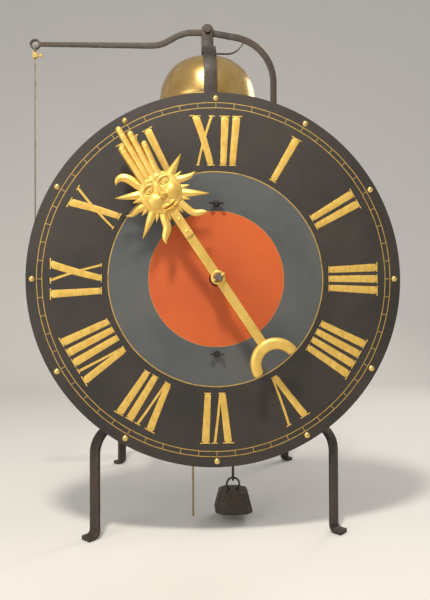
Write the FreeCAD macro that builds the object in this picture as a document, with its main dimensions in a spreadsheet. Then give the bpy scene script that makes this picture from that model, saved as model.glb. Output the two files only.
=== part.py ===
import FreeCAD, Part
import math
import os
import re

import Sketcher
from FreeCAD import Placement, Rotation, Vector

# Tower clock with one hand. X runs to the right, Y away from the viewer, Z up,
# and the origin lies on the floor midway between the four feet.

# Driving sizes: millimetres, with counts, degrees and shares among them
drivingSizes = {
    # bent strap legs that rise into the corner posts
    "footHalfX": 395, "footHalfY": 455, "strapWidth": 42, "strapThickness": 14, "footLength": 38,
    "footBend": 18, "kneeHeight": 352, "kneeBend": 80, "postBend": 50, "cornerInset": 110, "postTop": 1360,
    # cage of rails and upright bars
    "railHeight": 40, "railThickness": 12, "bottomRail": 430, "barWidth": 50, "boltRadius": 9, "boltHead": 8,
    # dial with its rivets, pillars and wing screws
    "dialRadius": 600, "dialThickness": 3, "dialCentre": 840, "dialFront": 530, "dialEye": 24,
    "rivetCount": 12, "rivetCircle": 581, "rivetRadius": 10, "rivetDome": 6,
    "screwRise": 240, "pillarRadius": 12, "screwRadius": 6, "screwDepth": 26, "screwHead": 10,
    "wingSpan": 48, "wingStand": 25, "wingFoot": 4, "wingThickness": 4, "wingRoot": 14,
    # teeth and wheels
    "pressureAngle": 25, "addendumShare": 0.8, "dedendumShare": 1, "backlashShare": 0.06, "pinionLeaves": 12,
    "wheelWidth": 14, "pinionOverlap": 4, "rimDepth": 20, "armCount": 4, "armWidth": 22, "hubRadius": 34,
    "hourTeeth": 72, "motionModule": 4, "greatTeeth": 72, "greatModule": 5, "secondTeeth": 48,
    "secondModule": 4, "countTeeth": 117, "countModule": 3, "runningFit": 0.05, "endShake": 0.5, "seatGap": 0.3,
    # arbors and where their wheels stand
    "greatArbor": 14, "greatJournal": 10, "secondArbor": 11, "secondJournal": 8, "thirdArbor": 9,
    "thirdJournal": 7, "arborShoulder": 2, "motionSetOff": 54, "greatSetOff": 263, "secondSetOff": 209,
    "strikeGreatSetOff": 97, "strikeSecondSetOff": 156,
    # hand stud, hour pipe and the hand
    "studRadius": 11, "studShoulder": 18, "studLength": 206, "studEndGap": 5,
    "hourHub": 26, "hourHubLength": 22, "pipeRadius": 17, "handSquare": 20, "handSquareLength": 38,
    "handStandOff": 66, "handAngle": 33.9, "handBarWidth": 29, "handBarThickness": 8, "handBarEnd": 243,
    "handBossRadius": 22.5, "handBossDepth": 22, "handPinRadius": 3, "handPinLength": 46,
    "handRivetRadius": 6, "handRivetDome": 3, "handRivetNear": 171, "handRivetFar": 214,
    # sun with its rays and tail strap
    "sunDistance": 313, "sunRadius": 64, "sunDome": 26, "sunPlate": 7, "sunRim": 66, "rayTip": 146,
    "rayHalfWidth": 15, "rayWave": 7, "shortRayTip": 92, "shortRayHalfWidth": 9, "hornTip": 147,
    "sunTailStart": 153, "sunTailThickness": 6,
    # pointing hand
    "fingerRadius": 10.5, "fingerStart": 381, "palmStart": 320, "palmEnd": 396, "palmHalfWidth": 37,
    "palmThickness": 7, "fingerFront": 4,
    "fingerTipA": 486, "fingerTipB": 540, "fingerTipC": 510, "fingerTipD": 462,
    "fingerLeanA": 1, "fingerLeanB": 9, "fingerLeanC": 13, "fingerLeanD": 14, "fingerPitch": 17.6,
    # crescent moon
    "moonDistance": 321, "moonRadius": 65, "moonHalfWidth": 21.5, "moonHornHalfWidth": 18, "moonSpread": 92,
    "moonThickness": 14,
    # rope wheel, rope and counterweight
    "ropePitchRadius": 71.5, "ropeRadius": 4.5, "ropeClearance": 0.4, "ropeSetOff": 300, "ropeFlange": 84,
    "ropeWheelWidth": 24, "ropeEnd": 8, "strikeRopeSetOff": 52, "weightBottom": 30, "weightHeight": 70,
    "weightTopWidth": 102, "weightBottomWidth": 136, "weightCorner": 24,
    "ringRadius": 22.5, "ringWire": 3.5, "ringRise": 18, "hookRadius": 9, "hookWire": 4, "hookShank": 40,
    "hookArc": 300,
    # crown wheel, verge and foliot
    "crownTeeth": 29, "crownRadius": 70, "crownBand": 8, "crownWeb": 8, "crownDepth": 24, "toothDepth": 24,
    "crownSetOff": 150, "vergeSetOff": 80, "vergeRadius": 6, "vergePivot": 5, "palletReach": 18,
    "palletThickness": 4, "palletHeight": 22, "palletTurn": 45, "vergeBottom": 912, "foliotDrop": 104,
    "foliotBarDepth": 10,
    "foliotBarWidth": 14, "foliotHalf": 240, "foliotWeightAt": 222, "foliotWeightRadius": 22,
    "foliotWeightHeight": 60, "foliotStem": 20, "foliotStemRadius": 5, "foliotHub": 14, "foliotHubDepth": 24,
    "cockThickness": 12, "cockWidth": 30, "potenceSetOff": 172, "potenceTop": 1304, "potenceTail": 18,
    # striking work
    "liftPins": 8, "liftPinCircle": 165, "liftPinRadius": 5, "liftPinLength": 26, "flySetOff": 265,
    "flyHalf": 100, "flyDepth": 70, "flyThickness": 3, "countSetOff": 8, "countStud": 9, "countNotch": 9,
    "countNotchRadius": 150, "countNotchDepth": 12, "hoursStruck": 12,
    "leverHeight": 720, "leverArbor": 9, "leverPivot": 7, "leverArmDepth": 26, "leverArmThickness": 8,
    "leverTailSetOff": 118, "leverTailReach": 112, "leverTailDepth": 20, "bracketFront": 40,
    "bracketRear": 160, "bracketWidth": 30, "bracketCheek": 12, "bracketBase": 12, "bracketHead": 25,
    # bell and its straps
    "bellStand": 209, "bellRadius": 196, "shoulderShare": 0.8, "bellWall": 8, "lipFlare": 6, "skirtHeight": 34, "bellBolt": 8,
    "bellCollar": 15, "bellNut": 16, "bellNutDepth": 11, "bellNutGap": 0.8, "bellStrapWidth": 50,
    "bellStrapGap": 13, "bellFootBend": 40, "crownBend": 165, "crownTail": 30, "pivotRise": 101.5,
    # hammer lever, hammer, check spring and pull wire
    "pivotBolt": 9, "pivotHead": 13, "pivotHeadDepth": 9, "pivotNut": 15, "pivotNutDepth": 10,
    "hammerThickness": 8, "hammerArmWidth": 27, "hammerMidWidth": 25, "hammerEndWidth": 18,
    "hammerArmDrop": 5, "hammerBoss": 24, "bendStart": 97, "bendEnd": 195, "bendDrop": 58, "armBend": 150,
    "eyeReach": 701, "eyeDrop": 69, "eyeRadius": 22, "eyeHole": 13, "armSlopeStart": 20, "armReach": 276,
    "armCornerDrop": 46, "armCornerBend": 185, "hammerRise": 8, "hammerRadius": 32, "hammerBack": 48,
    "hammerTail": 4, "hammerGap": 4, "springThickness": 3, "springWidth": 12, "springRise": 6,
    "springBend": 70, "springRun": 90, "springTipAlong": 37, "springTipRise": 50,
    "wireRadius": 3.25, "wireLoop": 11.2, "clampWidth": 18, "clampHeight": 22, "clampDrop": 24,
    "thumbRadius": 4, "thumbLength": 12, "thumbHead": 8, "thumbHeadDepth": 6,
}

# Sizes and places worked out from the driving ones
workedOut = {
    "postX": "footHalfX - cornerInset",
    "postY": "footHalfY - cornerInset",
    "seatX": "postX - strapThickness * sqrt(2) / 4",
    "seatY": "postY - strapThickness * sqrt(2) / 4",
    "cageFront": "seatY + railThickness",
    "topRail": "postTop - railHeight",
    "barBottom": "bottomRail + railHeight",
    "barLength": "topRail - barBottom",
    "dialBack": "dialFront - dialThickness",
    "greatZ": "dialCentre - motionModule * (hourTeeth + pinionLeaves) / 2",
    "secondZ": "greatZ + greatModule * (greatTeeth + pinionLeaves) / 2",
    "thirdZ": "secondZ + secondModule * (secondTeeth + pinionLeaves) / 2",
    "countZ": "greatZ + countModule * (countTeeth + pinionLeaves) / 2",
    "motionY": "cageFront + motionSetOff",
    "handFront": "dialFront + handStandOff",
    "handFace": "handFront + handBarThickness",
    "foliotHeight": "potenceTop - foliotDrop",
    "bellZ": "postTop + bellStand",
    "crownZ": "bellZ + bellRadius + bellStrapGap",
    "crownTopZ": "crownZ + strapThickness",
    "pivotZ": "crownTopZ + pivotRise",
    "armZ": "pivotZ - hammerArmDrop",
    "eyeZ": "pivotZ - eyeDrop",
    "hammerY": "strapThickness / 2 + endShake",
    "hammerMidY": "hammerY + hammerThickness / 2",
    "hammerZ": "bellZ - skirtHeight + hammerRise",
    "leverX": "seatX + railThickness / 2",
    "leverArm": "eyeReach - leverX",
    "ringZ": "weightBottom + weightHeight + ringRise",
    "hookZ": "ringZ + ringRadius + hookRadius - hookWire - ringWire - seatGap",
    "ropeTop": "hookZ + hookRadius + hookShank",
    "loopInside": "wireLoop - wireRadius - seatGap",
    "wireHang": "sqrt(loopInside ^ 2 - hammerThickness ^ 2 / 4) - (eyeRadius - eyeHole) / 2",
}

doc = FreeCAD.newDocument("TowerClock")
sheet = doc.addObject("Spreadsheet::Sheet", "sizes")
for row, (alias, amount) in enumerate(drivingSizes.items(), start=1):
    sheet.set("A%d" % row, alias)
    sheet.set("B%d" % row, str(amount))
    sheet.setAlias("B%d" % row, alias)
doc.recompute()
nodes = {}


# Writing a size as a formula on the sheet's cells
def bound(text):
    def cell(match):
        word = match.group()
        if word in workedOut:
            return "(" + bound(workedOut[word]) + ")"
        return "sizes." + word if word in drivingSizes else word
    return re.sub(r"[A-Za-z]\w*", cell, text)


# The value of such a formula
def num(text):
    return float(sheet.evalExpression(bound(text)))


# Binding properties and the place of a document object
def bind(thing, **formulas):
    for name, text in formulas.items():
        thing.setExpression(name, bound(text))
    return thing


def place(thing, corner):
    for axis, text in zip("xyz", corner):
        if text != "0":
            thing.setExpression("Placement.Base." + axis, bound(text))
    return thing


def node(label, thing):
    thing.Label = label
    nodes[label] = thing
    return thing


def box(name, lengths, corner):
    cuboid = doc.addObject("Part::Box", name)
    bind(cuboid, Length=lengths[0], Width=lengths[1], Height=lengths[2])
    return place(cuboid, corner)


# Turns that lay an upright piece along an axis
alongX = Rotation(Vector(0, 1, 0), 90)
alongY = Rotation(Vector(1, 0, 0), -90)
upright = Rotation()


def rod(name, radius, length, start, turn):
    cylinder = doc.addObject("Part::Cylinder", name)
    cylinder.Placement = Placement(Vector(), turn)
    bind(cylinder, Radius=radius, Height=length)
    return place(cylinder, start)


def joined(name, pieces):
    union = doc.addObject("Part::MultiFuse", name)
    union.Shapes = pieces
    return union


def cut(name, base, tools):
    difference = doc.addObject("Part::Cut", name)
    difference.Base = base
    difference.Tool = tools[0] if len(tools) == 1 else joined(name + "Tools", tools)
    return difference


def feature(label, shape, placement):
    thing = doc.addObject("Part::Feature", label)
    thing.Shape = shape
    thing.Placement = placement.multiply(thing.Placement)
    return node(label, thing)


# A straight-sided outline, each corner tied to the sheet, padded upwards
def padded(label, outline, height, bottom):
    body = doc.addObject("PartDesign::Body", label)
    sketch = body.newObject("Sketcher::SketchObject", label + "Outline")
    plane = next(part for part in body.Origin.OriginFeatures if part.Role == "XY_Plane")
    sketch.AttachmentSupport = [(plane, "")]
    sketch.MapMode = "FlatFace"
    corners = [Vector(num(x), num(y), 0) for x, y in outline]
    for start, end in zip(corners, corners[1:] + corners[:1]):
        sketch.addGeometry(Part.LineSegment(start, end), False)
    for index in range(len(corners)):
        following = (index + 1) % len(corners)
        sketch.addConstraint(Sketcher.Constraint("Coincident", index, 2, following, 1))
    for index, texts in enumerate(outline):
        for kind, text in zip(("DistanceX", "DistanceY"), texts):
            mark = sketch.addConstraint(Sketcher.Constraint(kind, -1, 1, index, 1, num(text)))
            sketch.setExpression("Constraints[%d]" % mark, bound(text))
    pad = body.newObject("PartDesign::Pad", label + "Pad")
    pad.Profile = sketch
    bind(pad, Length=height)
    place(body, ("0", "0", bottom))
    return node(label, body)


# One side of a bent path in the XZ plane: lines and arcs, moved to the left of the path
def pathSide(points, bends, shifts):
    edges = []
    normals = []
    steps = [(end - start).normalize() for start, end in zip(points, points[1:])]
    for step in steps:
        normals.append(Vector(-step.z, 0, step.x))
    last = points[0] + normals[0] * shifts[0]
    for index in range(1, len(points) - 1):
        before, after = steps[index - 1], steps[index]
        turn = math.atan2(before.x * after.z - before.z * after.x, before.dot(after))
        side = math.copysign(1, turn)
        reach = bends[index - 1] * math.tan(abs(turn) / 2)
        centre = points[index] - before * reach + normals[index - 1] * (side * bends[index - 1])
        radius = bends[index - 1] - side * shifts[index]
        middle = (normals[index - 1] + normals[index]).normalize() * (-side * radius)
        start = points[index] - before * reach + normals[index - 1] * shifts[index]
        end = points[index] + after * reach + normals[index] * shifts[index]
        edges.append(Part.LineSegment(last, start).toShape())
        edges.append(Part.Arc(start, centre + middle, end).toShape())
        last = end
    edges.append(Part.LineSegment(last, points[-1] + normals[-1] * shifts[-1]).toShape())
    return edges


# A strap bent on a path of (x, z) points, as deep as its width and centred on y = 0
def bentStrap(points, bends, halves, width):
    path = [Vector(x, 0, z) for x, z in points]
    left = pathSide(path, bends, halves)
    right = pathSide(path, bends, [-half for half in halves])
    caps = []
    for end in (0, -1):
        tips = [left[end].Vertexes[end].Point, right[end].Vertexes[end].Point]
        caps.append(Part.LineSegment(*tips).toShape())
    outline = Part.Wire(Part.__sortEdges__(left + right + caps))
    solid = Part.Face(outline).extrude(Vector(0, width, 0))
    solid.translate(Vector(0, -width / 2, 0))
    return solid


# A round piece along Y between two planes
def turned(start, end, radius):
    return Part.makeCylinder(radius, end - start, Vector(0, start, 0), Vector(0, 1, 0))


# Tooth outline: involute flanks taken at the root or base circle, the pitch circle and the tip
def toothOutline(teeth, module, firstTooth):
    pitch = teeth * module / 2
    pressure = math.radians(num("pressureAngle"))
    base = pitch * math.cos(pressure)
    root = pitch - module * num("dedendumShare")
    tip = pitch + module * num("addendumShare")
    slack = module * num("backlashShare") / pitch
    levels = [root, pitch, tip] if root > base else [root, base, pitch, tip]

    def involute(angle):
        return math.tan(angle) - angle

    def halfAngle(radius):
        angle = math.acos(min(1, base / radius))
        return math.pi / (2 * teeth) - slack + involute(pressure) - involute(angle)

    corners = []
    for tooth in range(teeth):
        middle = firstTooth + 2 * math.pi * tooth / teeth
        flank = [(radius, halfAngle(max(radius, base))) for radius in levels]
        for radius, half in [(r, -a) for r, a in flank] + flank[::-1]:
            corners.append(Vector(radius * math.cos(middle + half), 0, radius * math.sin(middle + half)))
    return Part.makePolygon(corners + corners[:1]), root


# Window between two arms of a wheel
def window(inner, outer, arm):
    half = num("armWidth") / 2
    spread = 2 * math.pi / num("armCount")

    def corner(radius, edge):
        lean = math.asin(half / radius)
        angle = arm * spread + (lean if edge == 0 else spread - lean)
        return Vector(radius * math.cos(angle), 0, radius * math.sin(angle))

    def rounded(radius):
        middle = (arm + 1 / 2) * spread
        top = Vector(radius * math.cos(middle), 0, radius * math.sin(middle))
        return Part.Arc(corner(radius, 0), top, corner(radius, 1)).toShape()

    sides = [Part.LineSegment(corner(inner, edge), corner(outer, edge)).toShape() for edge in (0, 1)]
    return Part.Wire(Part.__sortEdges__([rounded(inner), sides[1], rounded(outer), sides[0]]))


# A toothed wheel or pinion along Y; a wheel has arms between its rim and its hub
def toothed(teeth, module, middle, width, firstTooth, crossed):
    outline, root = toothOutline(int(teeth), module, math.radians(firstTooth))
    wires = [outline]
    if crossed:
        rim = root - num("rimDepth")
        wires += [window(num("hubRadius"), rim, arm) for arm in range(int(num("armCount")))]
    face = Part.makeFace(Part.makeCompound(wires), "Part::FaceMakerBullseye")
    face.translate(Vector(0, middle - width / 2, 0))
    return face.extrude(Vector(0, width, 0))


# Angles of a first tooth that meets the wheel above, or leaves a gap for the wheel below
def toothUp():
    return 90


def gapDown(teeth):
    return -90 + 180 / teeth


# A profile of (radius, height) corners turned round Z
def spun(profile):
    wire = Part.makePolygon([Vector(radius, 0, height) for radius, height in profile + profile[:1]])
    return Part.Face(wire).revolve(Vector(), Vector(0, 0, 1), 360)


# A spherical cap on the XY plane
def dome(radius, height):
    ball = (radius ** 2 + height ** 2) / (2 * height)
    whole = Part.makeSphere(ball, Vector(0, 0, height - ball))
    return whole.common(Part.makeCylinder(radius, height))


# The same cap on a front face, at a height along the piece
def cap(radius, height, seat, along):
    piece = dome(radius, height)
    piece.rotate(Vector(), Vector(1, 0, 0), 90)
    piece.translate(Vector(0, -seat, along))
    return piece


# Stand: each leg is one strap, bent out into a foot, in at the knee and up into a corner post
def makeLegs():
    foot = num("cornerInset") * math.sqrt(2)
    half = num("strapThickness") / 2
    knee = num("kneeHeight")
    path = [(foot + num("footLength"), half), (foot, half), (foot, knee), (0, knee), (0, num("postTop"))]
    bends = [num("footBend"), num("kneeBend"), num("postBend")]
    for side, x in (("left", -1), ("right", 1)):
        for end, y in (("front", -1), ("rear", 1)):
            strap = bentStrap(path, bends, [half] * len(path), num("strapWidth"))
            corner = Vector(x * num("postX"), y * num("postY"), 0)
            outward = Rotation(Vector(0, 0, 1), math.degrees(math.atan2(y, x)))
            feature("leg_%s_%s" % (end, side), strap, Placement(corner, outward))


# Cage: mitred rails that meet the posts' inner faces, cross rails in the middle, bolt heads outside
def makeRails():
    for level, bottom in (("bottom", "bottomRail"), ("top", "topRail")):
        for side, sign in (("left", "-"), ("right", "")):
            near, far = sign + "seatX", sign + "(seatX + railThickness)"
            outline = [(near, "-seatY"), (far, "railThickness - seatY"),
                       (far, "seatY - railThickness"), (near, "seatY")]
            padded("%s_side_rail_%s" % (level, side), outline, "railHeight", bottom)
        for end, sign in (("front", "-"), ("rear", "")):
            near, far = sign + "seatY", sign + "(seatY + railThickness)"
            outline = [("-seatX", near), ("railThickness - seatX", far),
                       ("seatX - railThickness", far), ("seatX", near)]
            padded("%s_cross_rail_%s" % (level, end), outline, "railHeight", bottom)
        label = "%s_cross_rail_middle" % level
        lengths = ("2 * seatX", "railThickness", "railHeight")
        node(label, box(label, lengths, ("-seatX", "-railThickness / 2", bottom)))


def makeFrameBolts():
    heads = []
    for bottom in ("bottomRail", "topRail"):
        for x in (-1, 1):
            for y in (-1, 1):
                outward = Vector(x, y, 0).normalize()
                start = Vector(x * num("postX"), y * num("postY"), num(bottom) + num("railHeight") / 2)
                start += outward * (num("strapThickness") / 2)
                heads.append(Part.makeCylinder(num("boltRadius"), num("boltHead"), start, outward))
    feature("frame_bolts", Part.makeCompound(heads), Placement())


# Upright bars with pivot holes; the front one carries the hand's stud, the rear one the count wheel's
def makeBar(label, front, studs):
    lengths = ("barWidth", "railThickness", "barLength")
    plain = box(label + "Blank", lengths, ("-barWidth / 2", front, "barBottom"))
    holes = []
    for turn in ("great", "second", "third"):
        radius = turn + "Journal + runningFit"
        holes.append(rod(label + turn, radius, "railThickness", ("0", front, turn + "Z"), alongY))
    drilled = cut(label + "Drilled", plain, holes)
    node(label, joined(label, [drilled] + studs) if studs else drilled)


def makeBars():
    shoulder = rod("studShoulderPiece", "studShoulder", "motionSetOff - endShake",
                   ("0", "endShake - motionY", "dialCentre"), alongY)
    stud = rod("studPiece", "studRadius", "studLength",
               ("0", "-cageFront - studLength", "dialCentre"), alongY)
    makeBar("front_bar", "-cageFront", [shoulder, stud])
    makeBar("middle_bar", "-railThickness / 2", [])
    countStud = rod("countStudPiece", "countStud", "countSetOff + wheelWidth + countSetOff",
                    ("0", "cageFront", "countZ"), alongY)
    makeBar("rear_bar", "seatY", [countStud])


# Dial: sheet disc with a hole for the pipe and two for its screws, rivets round the edge
def makeDial():
    disc = rod("dialDisc", "dialRadius", "dialThickness", ("0", "-dialFront", "dialCentre"), alongY)
    holes = [rod("dialEyeHole", "dialEye", "dialThickness", ("0", "-dialFront", "dialCentre"), alongY)]
    for spot, sign in (("upper", "+"), ("lower", "-")):
        height = "dialCentre %s screwRise" % sign
        holes.append(rod("dialHole" + spot, "screwRadius + runningFit", "dialThickness",
                         ("0", "-dialFront", height), alongY))
        pillar = rod("pillarRod" + spot, "pillarRadius", "dialBack - cageFront",
                     ("0", "-dialBack", height), alongY)
        bore = rod("pillarBore" + spot, "screwRadius + runningFit", "screwDepth",
                   ("0", "-dialBack", height), alongY)
        label = "dial_pillar_" + spot
        node(label, cut(label, pillar, [bore]))
        feature("wing_screw_" + spot, wingScrew(), Placement(Vector(0, 0, num(height)), upright))
    node("dial_plate", cut("dial_plate", disc, holes))
    rivets = []
    for step in range(int(num("rivetCount"))):
        angle = 2 * math.pi * step / num("rivetCount")
        circle = num("rivetCircle")
        height = num("dialCentre") + circle * math.cos(angle)
        rivet = cap(num("rivetRadius"), num("rivetDome"), num("dialFront"), height)
        rivet.translate(Vector(circle * math.sin(angle), 0, 0))
        rivets.append(rivet)
    feature("dial_rivets", Part.makeCompound(rivets), Placement())


# Wing outline as shares of half the span and of the stand-off from the dial
wingShares = [(0.2, 0.2), (0.6, 0.3), (1, 0.62), (0.95, 0.96), (0.7, 1), (0.2, 0.56)]


def wingScrew():
    front = num("dialFront")
    corners = []
    for sign, shares in ((1, wingShares), (-1, wingShares[::-1])):
        for across, out in shares:
            corners.append(Vector(sign * across * num("wingSpan") / 2, -front - out * num("wingStand"), 0))
    wing = Part.Face(Part.makePolygon(corners + corners[:1])).extrude(Vector(0, 0, num("wingThickness")))
    wing.translate(Vector(0, 0, -num("wingThickness") / 2))
    end = num("screwDepth - dialBack - endShake")
    shank = turned(-front - num("wingRoot"), end, num("screwRadius"))
    flange = turned(-front - num("wingFoot"), -front, num("screwHead"))
    return wing.fuse([shank, flange])


# The hand is modelled upright round the dial's centre and leans to the left of twelve
def handPlacement():
    return Placement(Vector(0, 0, num("dialCentre")), Rotation(Vector(0, 1, 0), -num("handAngle")))


def block(low, high):
    return Part.makeBox(high[0] - low[0], high[1] - low[1], high[2] - low[2], Vector(*low))


# A flat piece from edges in the XZ plane, its back at a given distance in front of the cage's middle
def plate(edges, back, thickness):
    face = Part.Face(Part.Wire(Part.__sortEdges__(edges)))
    face.translate(Vector(0, -back - thickness, 0))
    return face.extrude(Vector(0, thickness, 0))


def makeHandBar():
    half = num("handBarWidth") / 2
    middle = num("handFront + handBarThickness / 2")
    depth = num("handBossDepth") / 2
    square = num("handSquare") / 2
    tail = num("moonRadius - moonDistance")
    bar = block((-half, -num("handFace"), tail), (half, -num("handFront"), num("handBarEnd")))
    boss = turned(-middle - depth, depth - middle, num("handBossRadius"))
    hole = block((-square, -middle - depth, -square), (square, depth - middle, square))
    feature("hand_bar", bar.fuse(boss).cut(hole), handPlacement())
    rivets = []
    for along in ("handRivetNear", "handRivetFar"):
        seat = num("handFace + sunTailThickness")
        rivets.append(cap(num("handRivetRadius"), num("handRivetDome"), seat, num(along)))
    feature("hand_rivets", Part.makeCompound(rivets), handPlacement())
    feature("hand_pin", handPin(), handPlacement())


def handPin():
    length = num("handPinLength")
    front = num("handFront + handBarThickness / 2 + handBossDepth / 2 + handPinRadius")
    return Part.makeCylinder(num("handPinRadius"), length, Vector(-length / 2, -front, 0), Vector(1, 0, 0))


# Ray directions in degrees, clockwise from the fingers
straightRays = (-125, -64, 61, 124)
straightTipShares = (1.05, 0.97, 0.94, 1.02)
wavyRays = (-152, -90, 93, 148)
wavyTipShares = (1.06, 0.9, 0.87, 1.03)
wavyWays = (-1, 1, 1, 1)
shortRays = (-166, -138, -107, -77, 77, 108, 136, 165)
hornRoot = -44
hornTurn = -5


def rayPoint(angle, radius, across):
    way = math.radians(angle)
    x = radius * math.sin(way) + across * math.cos(way)
    z = num("sunDistance") + radius * math.cos(way) - across * math.sin(way)
    return Vector(x, 0, z)


def pointedRay(angle, tip, half):
    root = num("sunRadius - rayWave")
    corners = [rayPoint(angle, root, -half), rayPoint(angle, tip, 0), rayPoint(angle, root, half)]
    return [Part.LineSegment(*ends).toShape() for ends in zip(corners, corners[1:] + corners[:1])]


def wavyRay(angle, tip, way):
    root = num("sunRadius - rayWave")
    half, wave = num("rayHalfWidth"), way * num("rayWave")
    edges = []
    for side in (-1, 1):
        stations = []
        for step in range(5):
            sway = wave * (step % 2) * (1 if step == 1 else -1)
            across = side * half * (1 - step / 4) + sway
            stations.append(rayPoint(angle, root + (tip - root) * step / 4, across))
        edges += [Part.Arc(*stations[:3]).toShape(), Part.Arc(*stations[2:]).toShape()]
    ends = rayPoint(angle, root, -half), rayPoint(angle, root, half)
    return edges + [Part.LineSegment(*ends).toShape()]


def hornRay():
    root, tip, half = num("sunRadius - rayWave"), num("hornTip"), num("rayHalfWidth")
    end = rayPoint(hornRoot + hornTurn, tip, 0)
    edges = []
    for side in (-1, 1):
        middle = rayPoint(hornRoot - hornTurn, (root + tip) / 2, side * half / 2)
        edges.append(Part.Arc(rayPoint(hornRoot, root, side * half), middle, end).toShape())
    ends = rayPoint(hornRoot, root, -half), rayPoint(hornRoot, root, half)
    return edges + [Part.LineSegment(*ends).toShape()]


def makeSun():
    back, thickness = num("handFace"), num("sunPlate")
    long, half = num("rayTip"), num("rayHalfWidth")
    outlines = [pointedRay(angle, long * share, half) for angle, share in zip(straightRays, straightTipShares)]
    outlines += [pointedRay(angle, num("shortRayTip"), num("shortRayHalfWidth")) for angle in shortRays]
    for angle, share, way in zip(wavyRays, wavyTipShares, wavyWays):
        outlines.append(wavyRay(angle, long * share, way))
    outlines.append(hornRay())
    centre = Vector(0, 0, num("sunDistance"))
    disc = turned(-back - thickness, -back, num("sunRim"))
    disc.translate(centre)
    half = num("handBarWidth") / 2
    tail = block((-half, -back - num("sunTailThickness"), num("sunTailStart")), (half, -back, centre.z))
    face = cap(num("sunRadius"), num("sunDome"), back + thickness, centre.z)
    rays = [plate(outline, back, thickness) for outline in outlines]
    feature("sun_face", disc.fuse(rays + [tail, face]).removeSplitter(), handPlacement())


def makePointingHand():
    back = num("handFace")
    half, radius = num("palmHalfWidth"), num("fingerRadius")
    low = (-half, -back, num("palmStart"))
    palm = block(low, (half, num("palmThickness") - back, num("palmEnd")))
    fingers = []
    for index, letter in enumerate("ABCD"):
        across = num("fingerPitch") * (index - 3 / 2)
        base = Vector(across, -back - num("fingerFront"), num("fingerStart"))
        tip = base + Vector(num("fingerLean" + letter), 0, num("fingerTip" + letter) - base.z)
        fingers.append(Part.makeCylinder(radius, (tip - base).Length, base, tip - base))
        fingers.append(Part.makeSphere(radius, tip))
    feature("pointing_hand", palm.fuse(fingers), handPlacement())


def makeMoon():
    def horn(radius, angle):
        way = math.radians(angle)
        return Vector(radius * math.sin(way), 0, radius * math.cos(way) - num("moonDistance"))

    spread = num("moonSpread")
    edges = []
    tips = []
    for side in (-1, 1):
        ends = num("moonRadius") + side * num("moonHornHalfWidth")
        middle = num("moonRadius") + side * num("moonHalfWidth")
        edges.append(Part.Arc(horn(ends, -spread), horn(middle, 0), horn(ends, spread)).toShape())
        tips.append(ends)
    for side in (-1, 1):
        edges.append(Part.LineSegment(horn(tips[0], side * spread), horn(tips[1], side * spread)).toShape())
    feature("crescent_moon", plate(edges, num("handFace"), num("moonThickness")), handPlacement())


# Hour wheel on the fixed stud: its pipe ends in a square that the hand sits on
def makeHourWheel():
    rear, width = num("motionY"), num("wheelWidth")
    neck = num("handFront + handBarThickness / 2 - handBossDepth / 2")
    square = num("handSquare") / 2
    teeth = num("hourTeeth")
    disc = toothed(teeth, num("motionModule"), -rear - width / 2, width, gapDown(teeth), True)
    hub = turned(-rear - num("hourHubLength"), -rear, num("hourHub"))
    pipe = turned(-neck, -rear, num("pipeRadius"))
    end = block((-square, -neck - num("handSquareLength"), -square), (square, -neck, square)).cut(handPin())
    end.rotate(Vector(), Vector(0, 1, 0), -num("handAngle"))
    bore = turned(-num("cageFront + studLength + studEndGap"), -rear, num("studRadius + runningFit"))
    shape = disc.fuse([hub, pipe, end]).cut(bore)
    feature("hour_wheel", shape, Placement(Vector(0, 0, num("dialCentre")), upright))


# An arbor between two bars, with a journal at each end
def arbor(radius, journal, front, rear, frontEnd, rearEnd):
    shoulder = num("arborShoulder")
    thick = turned(front + shoulder, rear - shoulder, radius)
    ends = [turned(frontEnd, front + shoulder, journal), turned(rear - shoulder, rearEnd, journal)]
    return thick.fuse(ends)


def pinion(module, middle, firstTooth):
    width = num("wheelWidth + 2 * pinionOverlap")
    return toothed(num("pinionLeaves"), module, middle, width, firstTooth, False)


def wheel(name, middle):
    return toothed(num(name + "Teeth"), num(name + "Module"), middle, num("wheelWidth"), toothUp(), True)


def train(label, height, pieces):
    shape = pieces[0].fuse(pieces[1:])
    feature(label, shape, Placement(Vector(0, 0, num(height)), upright))


# Rope wheel: two flanges beside a groove for the rope
def ropeWheel(bore, middle):
    half = num("ropeWheelWidth") / 2
    groove = num("ropePitchRadius - ropeRadius - ropeClearance")
    gap = num("ropeRadius + ropeClearance")
    flange = num("ropeFlange")
    lip = (half + gap) / 2
    shape = spun([(bore, -half), (flange, -half), (flange, -lip), (groove, -gap), (groove, gap),
                  (flange, lip), (flange, half), (bore, half)])
    shape.rotate(Vector(), Vector(1, 0, 0), -90)
    shape.translate(Vector(0, middle, 0))
    return shape


def makeGoingTrain():
    front, middle = -num("seatY"), -num("railThickness") / 2
    motion = -num("motionY + wheelWidth / 2")
    shake = num("endShake")
    inBar = shake - num("cageFront")
    great, second = -num("greatSetOff"), -num("secondSetOff")
    nose = motion - num("wheelWidth") / 2 - num("pinionOverlap")
    shaft = arbor(num("greatArbor"), num("greatJournal"), front, middle, nose, -shake)
    driver = pinion(num("motionModule"), motion, toothUp())
    train("going_great_wheel", "greatZ", [shaft, wheel("great", great), driver])
    ropeBore = num("greatArbor + runningFit")
    train("rope_wheel", "greatZ", [ropeWheel(ropeBore, -num("ropeSetOff"))])
    leaves = gapDown(num("pinionLeaves"))
    shaft = arbor(num("secondArbor"), num("secondJournal"), front, middle, inBar, -shake)
    pieces = [shaft, wheel("second", second), pinion(num("greatModule"), great, leaves)]
    train("second_wheel", "secondZ", pieces)
    potence = -num("potenceSetOff") - num("cockThickness") / 2
    shaft = arbor(num("thirdArbor"), num("thirdJournal"), front, potence, inBar, -num("crownSetOff"))
    train("crown_wheel", "thirdZ", [shaft, crownWheel(), pinion(num("secondModule"), second, leaves)])


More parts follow.
